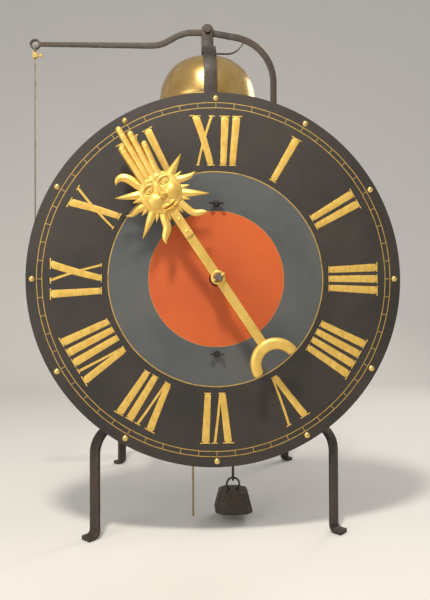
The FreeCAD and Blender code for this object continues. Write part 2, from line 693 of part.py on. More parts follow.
# Saw-shaped gaps of the crown wheel, as shares of the tooth pitch and of the tooth depth
notchShares = [(0.08, 1), (0.16, 0), (0.4, 0), (1, 1)]


def crownWheel():
    radius, band = num("crownRadius"), num("crownBand")
    back = -num("crownSetOff")
    root = back + num("crownDepth")
    tip = root + num("toothDepth")
    teeth = int(num("crownTeeth"))
    pitch = 2 * math.pi * radius / teeth
    hollow = turned(back + num("crownWeb"), tip, radius - band)
    corners = [Vector(x * pitch, root + y * (tip - root), radius - 2 * band) for x, y in notchShares]
    notch = Part.Face(Part.makePolygon(corners + corners[:1])).extrude(Vector(0, 0, 3 * band))
    notches = []
    for tooth in range(teeth):
        gap = notch.copy()
        gap.rotate(Vector(), Vector(0, 1, 0), 360 * tooth / teeth)
        notches.append(gap)
    return turned(back, tip, radius).cut([hollow] + notches)


# Verge with its two pallets, the foliot bar and the weights that set its pace
def makeEscapement():
    axis = Vector(0, -num("vergeSetOff"), 0)
    bottom, top, shake = num("vergeBottom"), num("potenceTop"), num("endShake")
    under = top - num("cockThickness")
    staff = Part.makeCylinder(num("vergeRadius"), under - bottom - 2 * shake, Vector(0, 0, bottom + shake))
    pivotFoot = bottom - num("cockThickness")
    pivots = Part.makeCylinder(num("vergePivot"), top - pivotFoot, Vector(0, 0, pivotFoot))
    pallets = []
    for side in (-1, 1):
        height = num("thirdZ") + side * num("crownRadius - crownBand / 2") - num("palletHeight") / 2
        half = num("palletThickness") / 2
        flag = block((-half, -num("palletReach"), height), (half, 0, height + num("palletHeight")))
        flag.rotate(Vector(), Vector(0, 0, 1), side * num("palletTurn"))
        pallets.append(flag)
    feature("verge", staff.fuse([pivots] + pallets), Placement(axis, upright))
    half, width = num("foliotHalf"), num("foliotBarWidth") / 2
    low = num("foliotHeight")
    middle = low + num("foliotBarDepth") / 2
    bar = block((-half, -width, low), (half, width, low + num("foliotBarDepth")))
    depth = num("foliotHubDepth")
    hub = Part.makeCylinder(num("foliotHub"), depth, Vector(0, 0, middle - depth / 2))
    hole = Part.makeCylinder(num("vergeRadius"), depth, Vector(0, 0, middle - depth / 2))
    feature("foliot_bar", bar.fuse(hub).cut(hole), Placement(axis, upright))
    for side, sign in (("left", "-"), ("right", "")):
        spot = sign + "foliotWeightAt"
        lump = rod("foliotLump" + side, "foliotWeightRadius", "foliotWeightHeight",
                   (spot, "-vergeSetOff", "foliotHeight - foliotStem - foliotWeightHeight"), upright)
        stem = rod("foliotStem" + side, "foliotStemRadius", "foliotStem",
                   (spot, "-vergeSetOff", "foliotHeight - foliotStem"), upright)
        label = "foliot_weight_" + side
        node(label, joined(label, [lump, stem]))


# Cocks on the middle bar: one holds the verge's top and the crown arbor, one the verge's foot
def makeCocks():
    wide, thick = "cockWidth", "cockThickness"
    reach = "potenceSetOff + cockThickness / 2"
    left = "-cockWidth / 2"
    arm = box("potenceArm", (wide, reach + " - railThickness / 2", thick),
              (left, "-(%s)" % reach, "potenceTop - cockThickness"))
    hanger = box("potenceHanger", (wide, thick, "potenceTop - thirdZ + potenceTail"),
                 (left, "-(%s)" % reach, "thirdZ - potenceTail"))
    crownHole = rod("crownHole", "thirdJournal + runningFit", thick,
                    ("0", "-(%s)" % reach, "thirdZ"), alongY)
    pivot = "vergePivot + runningFit"
    topHole = rod("vergeTopHole", pivot, thick,
                  ("0", "-vergeSetOff", "potenceTop - cockThickness"), upright)
    upper = cut("potence", joined("potenceBlank", [arm, hanger]), [crownHole, topHole])
    foot = box("vergeCockBlank", (wide, "vergeSetOff + cockWidth / 2 - railThickness / 2", thick),
               (left, "-vergeSetOff - cockWidth / 2", "vergeBottom - cockThickness"))
    footHole = rod("vergeFootHole", pivot, thick,
                   ("0", "-vergeSetOff", "vergeBottom - cockThickness"), upright)
    pair = doc.addObject("Part::Compound", "escapement_cocks")
    pair.Links = [upper, cut("vergeCock", foot, [footHole])]
    node("escapement_cocks", pair)


# Striking train behind the middle bar: lifting pins on its great wheel, fly and count wheel
def makeStrikingTrain():
    front, rear = num("railThickness") / 2, num("seatY")
    shake = num("endShake")
    inBar = num("cageFront") - shake
    great, second = num("strikeGreatSetOff"), num("strikeSecondSetOff")
    count = num("cageFront + countSetOff + wheelWidth / 2")
    tail = count + num("wheelWidth") / 2 + num("pinionOverlap")
    pins = []
    for step in range(int(num("liftPins"))):
        pin = turned(great, great + num("liftPinLength"), num("liftPinRadius"))
        angle = 2 * math.pi * (step + 1 / 2) / num("liftPins")
        pin.translate(Vector(math.cos(angle), 0, math.sin(angle)) * num("liftPinCircle"))
        pins.append(pin)
    shaft = arbor(num("greatArbor"), num("greatJournal"), front, rear, shake, tail)
    drum = ropeWheel(num("greatArbor"), num("strikeRopeSetOff"))
    driver = pinion(num("countModule"), count, toothUp())
    train("strike_great_wheel", "greatZ", [shaft, wheel("great", great), drum, driver] + pins)
    leaves = gapDown(num("pinionLeaves"))
    shaft = arbor(num("secondArbor"), num("secondJournal"), front, rear, shake, inBar)
    pieces = [shaft, wheel("second", second), pinion(num("greatModule"), great, leaves)]
    train("strike_second_wheel", "secondZ", pieces)
    shaft = arbor(num("thirdArbor"), num("thirdJournal"), front, rear, shake, inBar)
    half, depth, thick = num("flyHalf"), num("flyDepth") / 2, num("flyThickness") / 2
    vane = block((-half, num("flySetOff") - depth, -thick), (half, num("flySetOff") + depth, thick))
    train("fly", "thirdZ", [shaft, pinion(num("secondModule"), second, leaves), vane])
    makeCountWheel(count)


def makeCountWheel(middle):
    width, teeth = num("wheelWidth"), num("countTeeth")
    blank = toothed(teeth, num("countModule"), middle, width, gapDown(teeth), True)
    bore = turned(middle - width / 2, middle + width / 2, num("countStud + runningFit"))
    hours = int(num("hoursStruck"))
    strokes = hours * (hours + 1) / 2
    half, inner = num("countNotch") / 2, num("countNotchRadius")
    notches = []
    for hour in range(hours):
        low = (-half, middle - width / 2, inner)
        notch = block(low, (half, middle + width / 2, inner + num("countNotchDepth")))
        notch.rotate(Vector(), Vector(0, 1, 0), 360 * hour * (hour + 1) / 2 / strokes)
        notches.append(notch)
    feature("count_wheel", blank.cut([bore] + notches), Placement(Vector(0, 0, num("countZ")), upright))


# Strike lever on its bracket: a long arm to the pull wire and a short tail by the lifting pins
def makeStrikeLever():
    wide, cheek = "bracketWidth", "bracketCheek"
    left = "-leverX - bracketWidth / 2"
    cheekZ = "barBottom + bracketBase"
    cheekHeight = "leverHeight + bracketHead - barBottom - bracketBase"
    base = (wide, "bracketFront + bracketRear", "bracketBase")
    pieces = [box("bracketFoot", base, (left, "-bracketFront", "barBottom"))]
    holes = []
    for name, start in (("Front", "-bracketFront"), ("Rear", "bracketRear - bracketCheek")):
        pieces.append(box("bracketCheek" + name, (wide, cheek, cheekHeight), (left, start, cheekZ)))
        holes.append(rod("bracketHole" + name, "leverPivot + runningFit", cheek,
                         ("-leverX", start, "leverHeight"), alongY))
    node("strike_bracket", cut("strike_bracket", joined("bracketBlank", pieces), holes))
    shake = num("endShake")
    front, rear = -num("bracketFront"), num("bracketRear")
    staff = turned(front + num(cheek) + shake, rear - num(cheek) - shake, num("leverArbor"))
    pivots = turned(front + shake, rear - shake, num("leverPivot"))
    thick = num("leverArmThickness")
    middle = num("hammerMidY")
    deep = num("leverArmDepth") / 2
    arm = bentStrap([(0, 0), (-num("leverArm"), 0)], [], [deep, num("hammerEndWidth") / 2], thick)
    eye = turned(-thick / 2, thick / 2, num("eyeRadius"))
    hole = turned(-thick / 2, thick / 2, num("eyeHole"))
    for ring in (eye, hole):
        ring.translate(Vector(-num("leverArm"), 0, 0))
    long = arm.fuse(eye).cut(hole)
    long.translate(Vector(0, middle, 0))
    tailDeep = num("leverTailDepth") / 2
    tail = bentStrap([(0, 0), (num("leverTailReach"), 0)], [], [tailDeep, tailDeep], thick)
    tail.translate(Vector(0, num("leverTailSetOff"), 0))
    spot = Placement(Vector(-num("leverX"), 0, num("leverHeight")), upright)
    feature("strike_lever", staff.fuse([pivots, long, tail]), spot)


# Bell: a half ball with a short flared skirt, hung by a bolt from the strap's crown
# The bell's section: from the axis out to the rim, up its side and over a full shoulder to the top
def bellSection(radius, rim):
    middle, low = num("bellZ"), num("bellZ - skirtHeight")
    share = num("shoulderShare")
    curve = []
    for step in range(8):
        angle = math.radians(90 * step / 8)
        curve.append(Vector(radius * math.cos(angle) ** share, 0, middle + radius * math.sin(angle) ** share))
    curve.append(Vector(0, 0, middle + radius))
    shoulder = Part.BSplineCurve()
    shoulder.interpolate(Points=curve, InitialTangent=Vector(0, 0, 1), FinalTangent=Vector(-1, 0, 0))
    corners = [curve[-1], Vector(0, 0, low), Vector(rim, 0, low), curve[0]]
    edges = [Part.LineSegment(*ends).toShape() for ends in zip(corners, corners[1:])]
    face = Part.Face(Part.Wire(Part.__sortEdges__(edges + [shoulder.toShape()])))
    return face.revolve(Vector(), Vector(0, 0, 1), 360)


def makeBell():
    radius, inner = num("bellRadius"), num("bellRadius - bellWall")
    outside = bellSection(radius, radius + num("lipFlare"))
    hole = Part.makeCylinder(num("bellBolt"), radius, Vector(0, 0, num("bellZ")))
    feature("bell", outside.cut([bellSection(inner, inner), hole]), Placement())
    nutTop = "bellZ + bellRadius - bellWall - bellNutGap"
    shank = rod("bellShank", "bellBolt", "crownTopZ - (%s) + bellNutDepth" % nutTop,
                ("0", "0", nutTop + " - bellNutDepth"), upright)
    collar = rod("bellCollarPiece", "bellCollar", "bellStrapGap", ("0", "0", "bellZ + bellRadius"), upright)
    nut = rod("bellNutPiece", "bellNut", "bellNutDepth", ("0", "0", nutTop + " - bellNutDepth"), upright)
    node("bell_bolt", joined("bell_bolt", [shank, collar, nut]))


# Straps over the bell: the front one goes on into the crown and the post of the hammer's pivot
def bellStrap(tail):
    half = num("strapThickness") / 2
    foot, crown = num("postTop") + half, num("crownZ") + half
    out = num("bellRadius + bellStrapGap") + half
    path = [(num("cageFront"), foot), (out, foot), (out, crown), (tail, crown)]
    bends = [num("bellFootBend"), num("crownBend")]
    return bentStrap(path, bends, [half] * len(path), num("bellStrapWidth"))


def makeBellStraps():
    half, thick = num("bellStrapWidth") / 2, num("strapThickness") / 2
    strap = bellStrap(-num("crownTail"))
    shank = Part.makeCylinder(num("bellBolt"), num("strapThickness"), Vector(0, 0, num("crownZ")))
    strap = strap.cut(shank)
    strap.rotate(Vector(), Vector(0, 0, 1), -90)
    post = block((-half, -thick, num("crownTopZ")), (half, thick, num("pivotZ")))
    head = turned(-thick, thick, half)
    hole = turned(-thick, thick, num("pivotBolt"))
    for piece in (head, hole):
        piece.translate(Vector(0, 0, num("pivotZ")))
    feature("bell_strap_front", strap.fuse([post, head]).cut(hole), Placement())
    rear = bellStrap(num("crownTail"))
    feature("bell_strap_rear", rear, Placement(Vector(), Rotation(Vector(0, 0, 1), 90)))


# Hammer lever behind the post: eye at the left, bent arm with the hammer at the right
def makeHammer():
    arm, middle, end = (num(name) / 2 for name in ("hammerArmWidth", "hammerMidWidth", "hammerEndWidth"))
    thick = num("hammerThickness")
    armZ, eyeZ = num("armZ"), num("eyeZ")
    headZ, headX = num("hammerZ"), num("armReach")
    foot = headZ - num("hammerRadius + hammerTail")
    path = [(-num("eyeReach"), eyeZ), (-num("bendEnd"), armZ - num("bendDrop")),
            (-num("bendStart"), armZ), (num("armSlopeStart"), armZ),
            (headX, num("pivotZ - armCornerDrop")), (headX, foot)]
    bends = [num("armBend")] * 3 + [num("armCornerBend")]
    lever = bentStrap(path, bends, [end, middle, middle, arm, arm, arm], thick)
    boss = turned(-thick / 2, thick / 2, num("hammerBoss"))
    pivot = turned(-thick / 2, thick / 2, num("pivotBolt + runningFit"))
    for ring in (boss, pivot):
        ring.translate(Vector(0, 0, num("pivotZ")))
    eye = turned(-thick / 2, thick / 2, num("eyeRadius"))
    hole = turned(-thick / 2, thick / 2, num("eyeHole"))
    for ring in (eye, hole):
        ring.translate(Vector(-num("eyeReach"), 0, eyeZ))
    lever = lever.fuse([boss, eye]).cut([pivot, hole])
    feature("hammer_lever", lever, Placement(Vector(0, num("hammerMidY"), 0), upright))
    face = num("bellRadius + lipFlare + hammerGap")
    length = headX + arm + num("hammerBack") - face
    head = Part.makeCylinder(num("hammerRadius"), length, Vector(face, 0, headZ), Vector(1, 0, 0))
    slot = block((headX - arm, -thick / 2, foot), (headX + arm, thick / 2, headZ + num("hammerRadius")))
    feature("hammer_head", head.cut(slot), Placement(Vector(0, num("hammerMidY"), 0), upright))
    pivotBack = "hammerY + hammerThickness + endShake"
    start = "-strapThickness / 2"
    pieces = [
        rod("pivotShank", "pivotBolt", pivotBack + " + strapThickness / 2",
            ("0", start, "pivotZ"), alongY),
        rod("pivotHeadPiece", "pivotHead", "pivotHeadDepth",
            ("0", start + " - pivotHeadDepth", "pivotZ"), alongY),
        rod("pivotNutPiece", "pivotNut", "pivotNutDepth", ("0", pivotBack, "pivotZ"), alongY),
    ]
    node("hammer_pivot", joined("hammer_pivot", pieces))


# Check spring: a thin strip from the side of the post up to the arm's underside
def makeCheckSpring():
    start, low = num("bellStrapWidth") / 2, num("crownTopZ + springRise")
    bend = start + num("springRun")
    path = [(start, low), (bend, low), (bend + num("springTipAlong"), low + num("springTipRise"))]
    strip = bentStrap(path, [num("springBend")], [num("springThickness") / 2] * 3, num("springWidth"))
    feature("check_spring", strip, Placement())


# Pull wire with a loop round each eye, hung from the upper one, and the clamp near its top
def makePullWire():
    loops = []
    section = "(eyeRadius + eyeHole) / 2"
    heights = ("eyeZ - wireHang - " + section, "leverHeight + " + section)
    for index, height in enumerate(heights):
        loop = doc.addObject("Part::Torus", "wireLoop%d" % index)
        loop.Placement = Placement(Vector(), alongX)
        bind(loop, Radius1="wireLoop", Radius2="wireRadius")
        loops.append(place(loop, ("-eyeReach", "hammerMidY", height)))
    length = "(%s) - (%s) - 2 * wireLoop" % heights
    run = rod("wireRun", "wireRadius", length,
              ("-eyeReach", "hammerMidY", heights[1] + " + wireLoop"), upright)
    node("pull_wire", joined("pull_wire", loops + [run]))
    half = "clampWidth / 2"
    low = "eyeZ - eyeRadius - clampDrop - clampHeight / 2"
    cheek = box("clampBlock", ("clampWidth", "clampWidth", "clampHeight"),
                ("-eyeReach - " + half, "hammerMidY - " + half, low))
    bore = rod("clampBore", "wireRadius", "clampHeight", ("-eyeReach", "hammerMidY", low), upright)
    side = "-eyeReach + " + half
    middle = ("hammerMidY", low + " + clampHeight / 2")
    shank = rod("thumbShank", "thumbRadius", "thumbLength", (side,) + middle, alongX)
    head = rod("thumbHeadPiece", "thumbHead", "thumbHeadDepth",
               (side + " + thumbLength",) + middle, alongX)
    node("wire_clamp", joined("wire_clamp", [cut("clampDrilled", cheek, [bore]), shank, head]))


# Rope over its wheel: the left strand and the turn stay, the right strand carries the counterweight
def makeRope():
    left = rod("ropeStrand", "ropeRadius", "greatZ - ropeEnd",
               ("-ropePitchRadius", "-ropeSetOff", "ropeEnd"), upright)
    turn = doc.addObject("Part::Torus", "ropeTurn")
    turn.Placement = Placement(Vector(), Rotation(Vector(1, 0, 0), 90))
    turn.Angle3 = 180
    bind(turn, Radius1="ropePitchRadius", Radius2="ropeRadius")
    place(turn, ("0", "-ropeSetOff", "greatZ"))
    node("drive_rope", joined("drive_rope", [left, turn]))
    start = ("ropePitchRadius", "-ropeSetOff", "ropeTop")
    node("weight_rope", rod("weight_rope", "ropeRadius", "greatZ - ropeTop", start, upright))


# Counterweight: a tapering block with cut corners, a ring let into its top and the hook in the ring
def makeCounterweight():
    def level(width, height):
        half, flat = width / 2, width / 2 - num("weightCorner")
        turns = [(half, -flat), (half, flat), (flat, half), (-flat, half)]
        turns += [(-x, -y) for x, y in turns]
        corners = [Vector(x, y, height) for x, y in turns]
        return Part.makePolygon(corners + corners[:1])

    bottom = num("weightBottom")
    top = bottom + num("weightHeight")
    levels = [level(num("weightBottomWidth"), bottom), level(num("weightTopWidth"), top)]
    ring = Part.makeTorus(num("ringRadius"), num("ringWire"), Vector(0, 0, num("ringZ")), Vector(0, 1, 0))
    lump = Part.makeLoft(levels, True, True)
    spot = Placement(Vector(num("ropePitchRadius"), -num("ropeSetOff"), 0), upright)
    feature("counterweight", lump.fuse(ring), spot)
    hook = Part.makeTorus(num("hookRadius"), num("hookWire"), Vector(), Vector(0, 0, 1),
                          -180, 180, num("hookArc"))
    hook.rotate(Vector(), Vector(0, 1, 0), 90)
    hook.rotate(Vector(), Vector(1, 0, 0), 90)
    hook.translate(Vector(0, 0, num("hookZ")))
    foot = num("hookZ + hookRadius")
    shank = Part.makeCylinder(num("ropeRadius"), num("ropeTop") - foot, Vector(0, 0, foot))
    feature("weight_hook", hook.fuse(shank), spot)


# Every object is sound before any piece is written
def writePieces():
    doc.recompute()
    for thing in doc.Objects:
        if {"Invalid", "Error"} & set(thing.State):
            raise RuntimeError("failed object: " + thing.Label)
    os.makedirs("parts", exist_ok=True)
    for label, thing in nodes.items():
        if thing.Shape.isNull() or not thing.Shape.isValid() or not thing.Shape.Solids:
            raise RuntimeError("unsound piece: " + label)
    for label, thing in nodes.items():
        thing.Shape.exportStep("parts/" + label + ".step")
        print(label, len(thing.Shape.Solids), round(thing.Shape.Volume))


makeLegs()
makeRails()
makeFrameBolts()
makeBars()
makeDial()
makeHandBar()
makeSun()
makePointingHand()
makeMoon()
makeHourWheel()
makeGoingTrain()
makeEscapement()
makeCocks()
makeStrikingTrain()
makeStrikeLever()
makeBell()
makeBellStraps()
makeHammer()
makeCheckSpring()
makePullWire()
makeRope()
makeCounterweight()
writePieces()
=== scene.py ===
import math
from functools import partialmethod

import bmesh
import bpy
import numpy as np
from mathutils import Matrix, Vector


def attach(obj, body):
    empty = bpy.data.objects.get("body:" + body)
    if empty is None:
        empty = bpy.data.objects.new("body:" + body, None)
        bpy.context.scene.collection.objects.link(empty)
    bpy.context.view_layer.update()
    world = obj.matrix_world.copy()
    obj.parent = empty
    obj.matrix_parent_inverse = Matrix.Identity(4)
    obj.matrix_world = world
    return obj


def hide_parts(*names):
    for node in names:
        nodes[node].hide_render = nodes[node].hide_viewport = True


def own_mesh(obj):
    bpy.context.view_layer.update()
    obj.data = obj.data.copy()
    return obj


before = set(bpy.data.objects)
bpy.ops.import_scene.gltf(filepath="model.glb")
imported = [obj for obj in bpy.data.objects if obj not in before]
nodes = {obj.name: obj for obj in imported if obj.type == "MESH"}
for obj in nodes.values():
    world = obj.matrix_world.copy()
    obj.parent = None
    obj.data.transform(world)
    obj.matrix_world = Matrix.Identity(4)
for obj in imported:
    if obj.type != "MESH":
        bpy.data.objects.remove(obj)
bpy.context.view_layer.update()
quarterTurn = math.pi / 2
fullTurn = 2 * math.pi
standing = ((1, 0, 0), (0, 1, 0), (0, 0, 1))  # a piece's own axes: its third one upright
facing = ((1, 0, 0), (0, 0, 1), (0, 1, 0))  # its third one along the depth
print("frame loaded:", len(nodes), "nodes")


class Settings(dict):  # a dictionary whose values are also read as attributes
    __getattr__ = dict.__getitem__


# Shader sums: a Wire is one output socket, and plain operators on it add Math nodes
class Wire:
    def __init__(self, board, socket):
        self.board = board
        self.socket = socket

    def sum(self, operation, *others):
        return self.board.math(operation, self, *others)

    def __rsub__(self, other):
        return self.board.math("SUBTRACT", other, self)

    __add__ = __radd__ = partialmethod(sum, "ADD")
    __sub__ = partialmethod(sum, "SUBTRACT")
    __mul__ = __rmul__ = partialmethod(sum, "MULTIPLY")
    __pow__ = partialmethod(sum, "POWER")
    top = partialmethod(sum, "MAXIMUM")
    size = partialmethod(sum, "ABSOLUTE")

    def ramp(self, low, high, step="LINEAR"):  # 0 to 1 between two values
        return self.board.add("ShaderNodeMapRange", {"interpolation_type": step, "clamp": True},
                              {"Value": self, "From Min": low, "From Max": high})

    def over(self, edge, soft):  # 0 below the edge, 1 above it, with a soft step between
        return self.ramp(edge - soft, edge + soft, "SMOOTHSTEP")


# One finish: a material and the board its nodes are laid on
class Finish:
    def __init__(self, name):
        self.material = bpy.data.materials.new(name)
        self.material.use_nodes = True
        self.tree = self.material.node_tree
        self.tree.nodes.clear()
        self.place = self.add("ShaderNodeTexCoord", {}, {}, "Object")

    def add(self, kind, settings, inputs, output=0):
        node = self.tree.nodes.new(kind)
        for name, value in settings.items():
            setattr(node, name, value)
        for key, value in (inputs.items() if isinstance(inputs, dict) else enumerate(inputs)):
            socket = node.inputs[key]
            if isinstance(value, Wire):
                self.tree.links.new(value.socket, socket)
            elif socket.type == "RGBA":
                socket.default_value = (*value, 1)
            else:
                socket.default_value = value
        return Wire(self, node.outputs[output]) if node.outputs else node

    def math(self, operation, *inputs):
        return self.add("ShaderNodeMath", {"operation": operation}, inputs)

    def noise(self, scale, detail, rough, vector=None, twist=0):
        return self.add("ShaderNodeTexNoise", {}, {"Vector": vector or self.place, "Scale": scale,
                                                   "Detail": detail, "Roughness": rough, "Distortion": twist})

    def cells(self, scale, feature="F1"):
        inputs = {"Vector": self.place, "Scale": scale}
        return self.add("ShaderNodeTexVoronoi", {"feature": feature}, inputs, "Distance")

    def stretch(self, scale):  # the place, drawn out along an axis
        return self.add("ShaderNodeMapping", {}, {"Vector": self.place, "Scale": scale})

    def axes(self):
        parts = self.add("ShaderNodeSeparateXYZ", {}, [self.place]).socket.node
        return [Wire(self, socket) for socket in parts.outputs]

    def own(self, name):  # a value that the mesh carries
        return self.add("ShaderNodeAttribute", {"attribute_name": name}, {}, "Fac")

    def blend(self, share, first, second):
        return self.add("ShaderNodeMix", {"data_type": "RGBA"}, {0: share, 6: first, 7: second}, 2)

    def bump(self, height, depth, strength, below=None):
        inputs = {"Height": height, "Distance": depth, "Strength": strength}
        if below is not None:
            inputs["Normal"] = below
        return self.add("ShaderNodeBump", {}, inputs)

    def done(self, **sockets):
        named = {"color": "Base Color", "rough": "Roughness", "metal": "Metallic", "normal": "Normal"}
        inputs = {named[key]: value for key, value in sockets.items()}
        shader = self.add("ShaderNodeBsdfPrincipled", {}, inputs)
        self.add("ShaderNodeOutputMaterial", {}, {"Surface": shader})
        return self.material


# Meshes from grids of points: each patch is an array of rows by columns by 3, and its columns go round
def gridFaces(rows, cols, wrapRows, wrapCols):
    rowStarts = np.arange(rows if wrapRows else rows - 1)
    colStarts = np.arange(cols if wrapCols else cols - 1)
    r, c = np.meshgrid(rowStarts, colStarts, indexing="ij")
    nextR, nextC = (r + 1) % rows, (c + 1) % cols
    corners = [r * cols + c, nextR * cols + c, nextR * cols + nextC, r * cols + nextC]
    return np.stack(corners, -1).reshape(-1, 4)


meshSizes = Settings(weld=1e-6, sliver=1e-7)


def makePiece(name, patches, finish, body, replaces, sharp=None):
    points, faces, values, start = [], [], {}, 0
    carried = [key for key in ("wearAndHighlight", "paintedShade", "fibre", "strand") if any(key in patch for patch in patches)]
    for patch in patches:
        grid = patch["grid"]
        rows, cols = grid.shape[:2]
        points.append(grid.reshape(-1, 3))
        faces.append(gridFaces(rows, cols, patch.get("wrapRows", False), True) + start)
        for key in carried:
            values.setdefault(key, []).append(np.broadcast_to(patch.get(key, 0.0), (rows, cols)).ravel())
        start += rows * cols
    mesh = bpy.data.meshes.new(name)
    mesh.from_pydata(np.concatenate(points).tolist(), [], np.concatenate(faces).tolist())
    for key, arrays in values.items():
        layer = mesh.attributes.new(key, "FLOAT", "POINT")
        layer.data.foreach_set("value", np.concatenate(arrays).astype(np.float32))
    work = bmesh.new()
    work.from_mesh(mesh)
    bmesh.ops.remove_doubles(work, verts=work.verts, dist=meshSizes.weld)
    bmesh.ops.dissolve_degenerate(work, edges=work.edges, dist=meshSizes.sliver)
    bmesh.ops.recalc_face_normals(work, faces=work.faces)
    work.to_mesh(mesh)
    work.free()
    mesh.polygons.foreach_set("use_smooth", np.ones(len(mesh.polygons), bool))
    if sharp:
        mesh.set_sharp_from_angle(angle=math.radians(sharp))
    mesh.materials.append(finish)
    piece = bpy.data.objects.new(name, mesh)
    bpy.context.scene.collection.objects.link(piece)
    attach(piece, body)
    if replaces:
        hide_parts(*replaces)
    return piece


# A section with round corners, four quarter arcs: the signs of the corner that each point belongs to, its way
# out from that corner's centre, and its share of edge wear and painted highlight, most in the middle of an
# arc
def cornerArcs():
    turn = np.linspace(0, quarterTurn, 4)
    quarter = (np.arange(4)[:, None] * quarterTurn + turn).ravel()
    signs = np.repeat([(1, 1), (-1, 1), (-1, -1), (1, -1)], 4, axis=0).T
    return *signs, np.cos(quarter), np.sin(quarter), np.tile(np.sin(turn * 2), 4)


def roundAngles(count):  # once round, in even steps
    return np.linspace(0, fullTurn, count, endpoint=False)


def hill(gap, half, power=2):  # 1 in the middle, falling away on both sides
    return np.exp(-(gap / half) ** power)


def shutEnds(count):  # 1 for each row, but 0 for the first and the last, which close a patch
    draw = np.ones(count)
    draw[[0, -1]] = 0
    return draw


def gone(line):  # way gone along a line of points
    return np.concatenate([[0], np.cumsum(np.linalg.norm(np.diff(line, axis=0), axis=1))])


waveSizes = Settings(count=5, slow=20, fast=160, turns=3, phase=6.28)


# Uneven hand work: a sum of a few sine waves with fixed phases, between about -1 and 1
def handWork(along, around, seed):
    sizes = waveSizes
    dice = np.random.default_rng(seed)
    total = 0
    for wave in range(sizes.count):
        pace = dice.uniform(sizes.slow, sizes.fast)
        turns = dice.integers(-sizes.turns, sizes.turns + 1)
        total = total + np.sin(along * pace + around * turns + dice.uniform(0, sizes.phase))
    return total / sizes.count


def spin(arrow, angle):  # an arrow in the plane, turned by each angle
    cos, sin = np.cos(angle), np.sin(angle)
    return np.stack([arrow[0] * cos - arrow[1] * sin, arrow[0] * sin + arrow[1] * cos], 1)


# Stations on a path of straight runs and round bends in a plane: points and the normals to their left
def bentPath(corners, bends, step):
    corners = np.array(corners, float)
    runs = np.diff(corners, axis=0)
    ways = runs / np.linalg.norm(runs, axis=1)[:, None]
    sides = np.stack([-ways[:, 1], ways[:, 0]], 1)
    points, normals = [], []
    last = corners[0]

    def straight(end, side, closing):
        count = max(2, int(np.linalg.norm(end - last) / step)) + closing
        share = np.linspace(0, 1, count, endpoint=bool(closing))[:, None]
        points.append(last + (end - last) * share)
        normals.append(np.repeat(side[None], count, 0))

    for index, bend in enumerate(bends):
        before, after, side = ways[index], ways[index + 1], sides[index]
        turn = math.atan2(before[0] * after[1] - before[1] * after[0], before @ after)
        reach = bend * math.tan(abs(turn) / 2)
        enter = corners[index + 1] - before * reach
        straight(enter, side, 0)
        arm = -side * math.copysign(bend, turn)  # from the bend's centre to its first point
        angle = np.linspace(0, turn, max(6, int(abs(turn) * bend / step) + 4), endpoint=False)
        points.append(enter - arm + spin(arm, angle))
        normals.append(spin(side, angle))
        last = corners[index + 1] + after * reach
    straight(corners[-1], sides[-1], 1)
    return np.concatenate(points), np.concatenate(normals)


strapEnds = Settings(chamfer=0.93, pull=0.0012)


# A forged strap: a round-cornered section carried along a bent path, with hammer waves; each end has a
# chamfer and a closed middle. axes are the directions of the path's two coordinates and of the width
def forgedStrap(path, axes, origin, seed, halfThick, halfWide, corner, wave=0.00025):
    points, normals = path
    along = gone(points)
    count = len(along)
    rows = np.clip(np.arange(-2, count + 2), 0, count - 1)  # two more rows at each end
    body = np.ones(count + 4)
    body[[0, 1, -2, -1]] = 0
    edge = (np.where(body > 0, 1, strapEnds.chamfer) * shutEnds(count + 4))[:, None]
    thick, width = (np.broadcast_to(half, along.shape)[rows, None] for half in (halfThick, halfWide))
    signA, signB, outA, outB, wearAndHighlight = cornerArcs()
    turn = np.arctan2(signB + outB, signA + outA)
    dent = wave * (handWork(along[rows, None], turn, seed) - 1) * body[:, None]
    a = (signA * (thick - corner + dent) + corner * outA) * edge
    b = (signB * (width - corner + dent) + corner * outB) * edge
    pull = np.zeros(count + 4)
    pull[[2, -3]] = strapEnds.pull, -strapEnds.pull  # the body starts just inside the chamfer
    normals = normals[rows]
    flat = points[rows] + np.stack([normals[:, 1], -normals[:, 0]], 1) * pull[:, None]
    p, q = (flat[:, None] + normals[:, None] * a[..., None]).transpose(2, 0, 1)
    grid = np.array(origin) + np.stack([p, q, b], -1) @ np.array(axes, float)
    # the strap's corners carry wear, and also a painted highlight along the edges
    return {"grid": grid, "wearAndHighlight": wearAndHighlight * body[:, None]}


# A turned piece: a profile of (radius, height) carried round an axis
def turnedPiece(profile, count, axes, origin):
    profile = np.array(profile, float)
    angle = roundAngles(count)
    first, second, third = np.array(axes, float)
    ring = np.cos(angle)[:, None] * first + np.sin(angle)[:, None] * second
    grid = np.array(origin) + profile[:, None, :1] * ring + profile[:, None, 1:] * third
    return {"grid": grid}


print("kit ready")


# Finishes
# bare: bare iron in pits, and on worn edges, where it also paints a highlight
ironLook = Settings(
    dark=(0.021, 0.0175, 0.015), brown=(0.054, 0.035, 0.023), bare=(0.19, 0.16, 0.135), hammer=26,
    pits=240)


def forgedIron(name, wearAndHighlightOnEdges):
    look = ironLook
    f = Finish(name)
    cloud = f.noise(7, 6, 0.6).ramp(0.36, 0.66)
    speck = f.noise(look.pits, 3, 0.7).ramp(0.52, 0.74)
    colour = f.blend(speck * 0.35, f.blend(cloud, look.dark, look.brown), look.bare)
    rough = 0.5 + cloud * 0.16 - speck * 0.1
    metal = 0.42 - cloud * 0.22
    if wearAndHighlightOnEdges:  # corners worn towards bare iron, lightened also as a painted highlight
        wearAndHighlightShare = f.own("wearAndHighlight") ** 2 * f.noise(38, 4, 0.6).ramp(0.38, 0.66)
        colour = f.blend(wearAndHighlightShare * 0.75, colour, look.bare)
        rough = rough - wearAndHighlightShare * 0.14
        metal = metal + wearAndHighlightShare * 0.3
    facets = f.bump(f.cells(look.hammer, "SMOOTH_F1"), 0.004, 0.35)
    normal = f.bump(f.noise(look.pits, 4, 0.65), 0.0004, 0.5, facets)
    return f.done(color=colour, rough=rough, metal=metal, normal=normal)


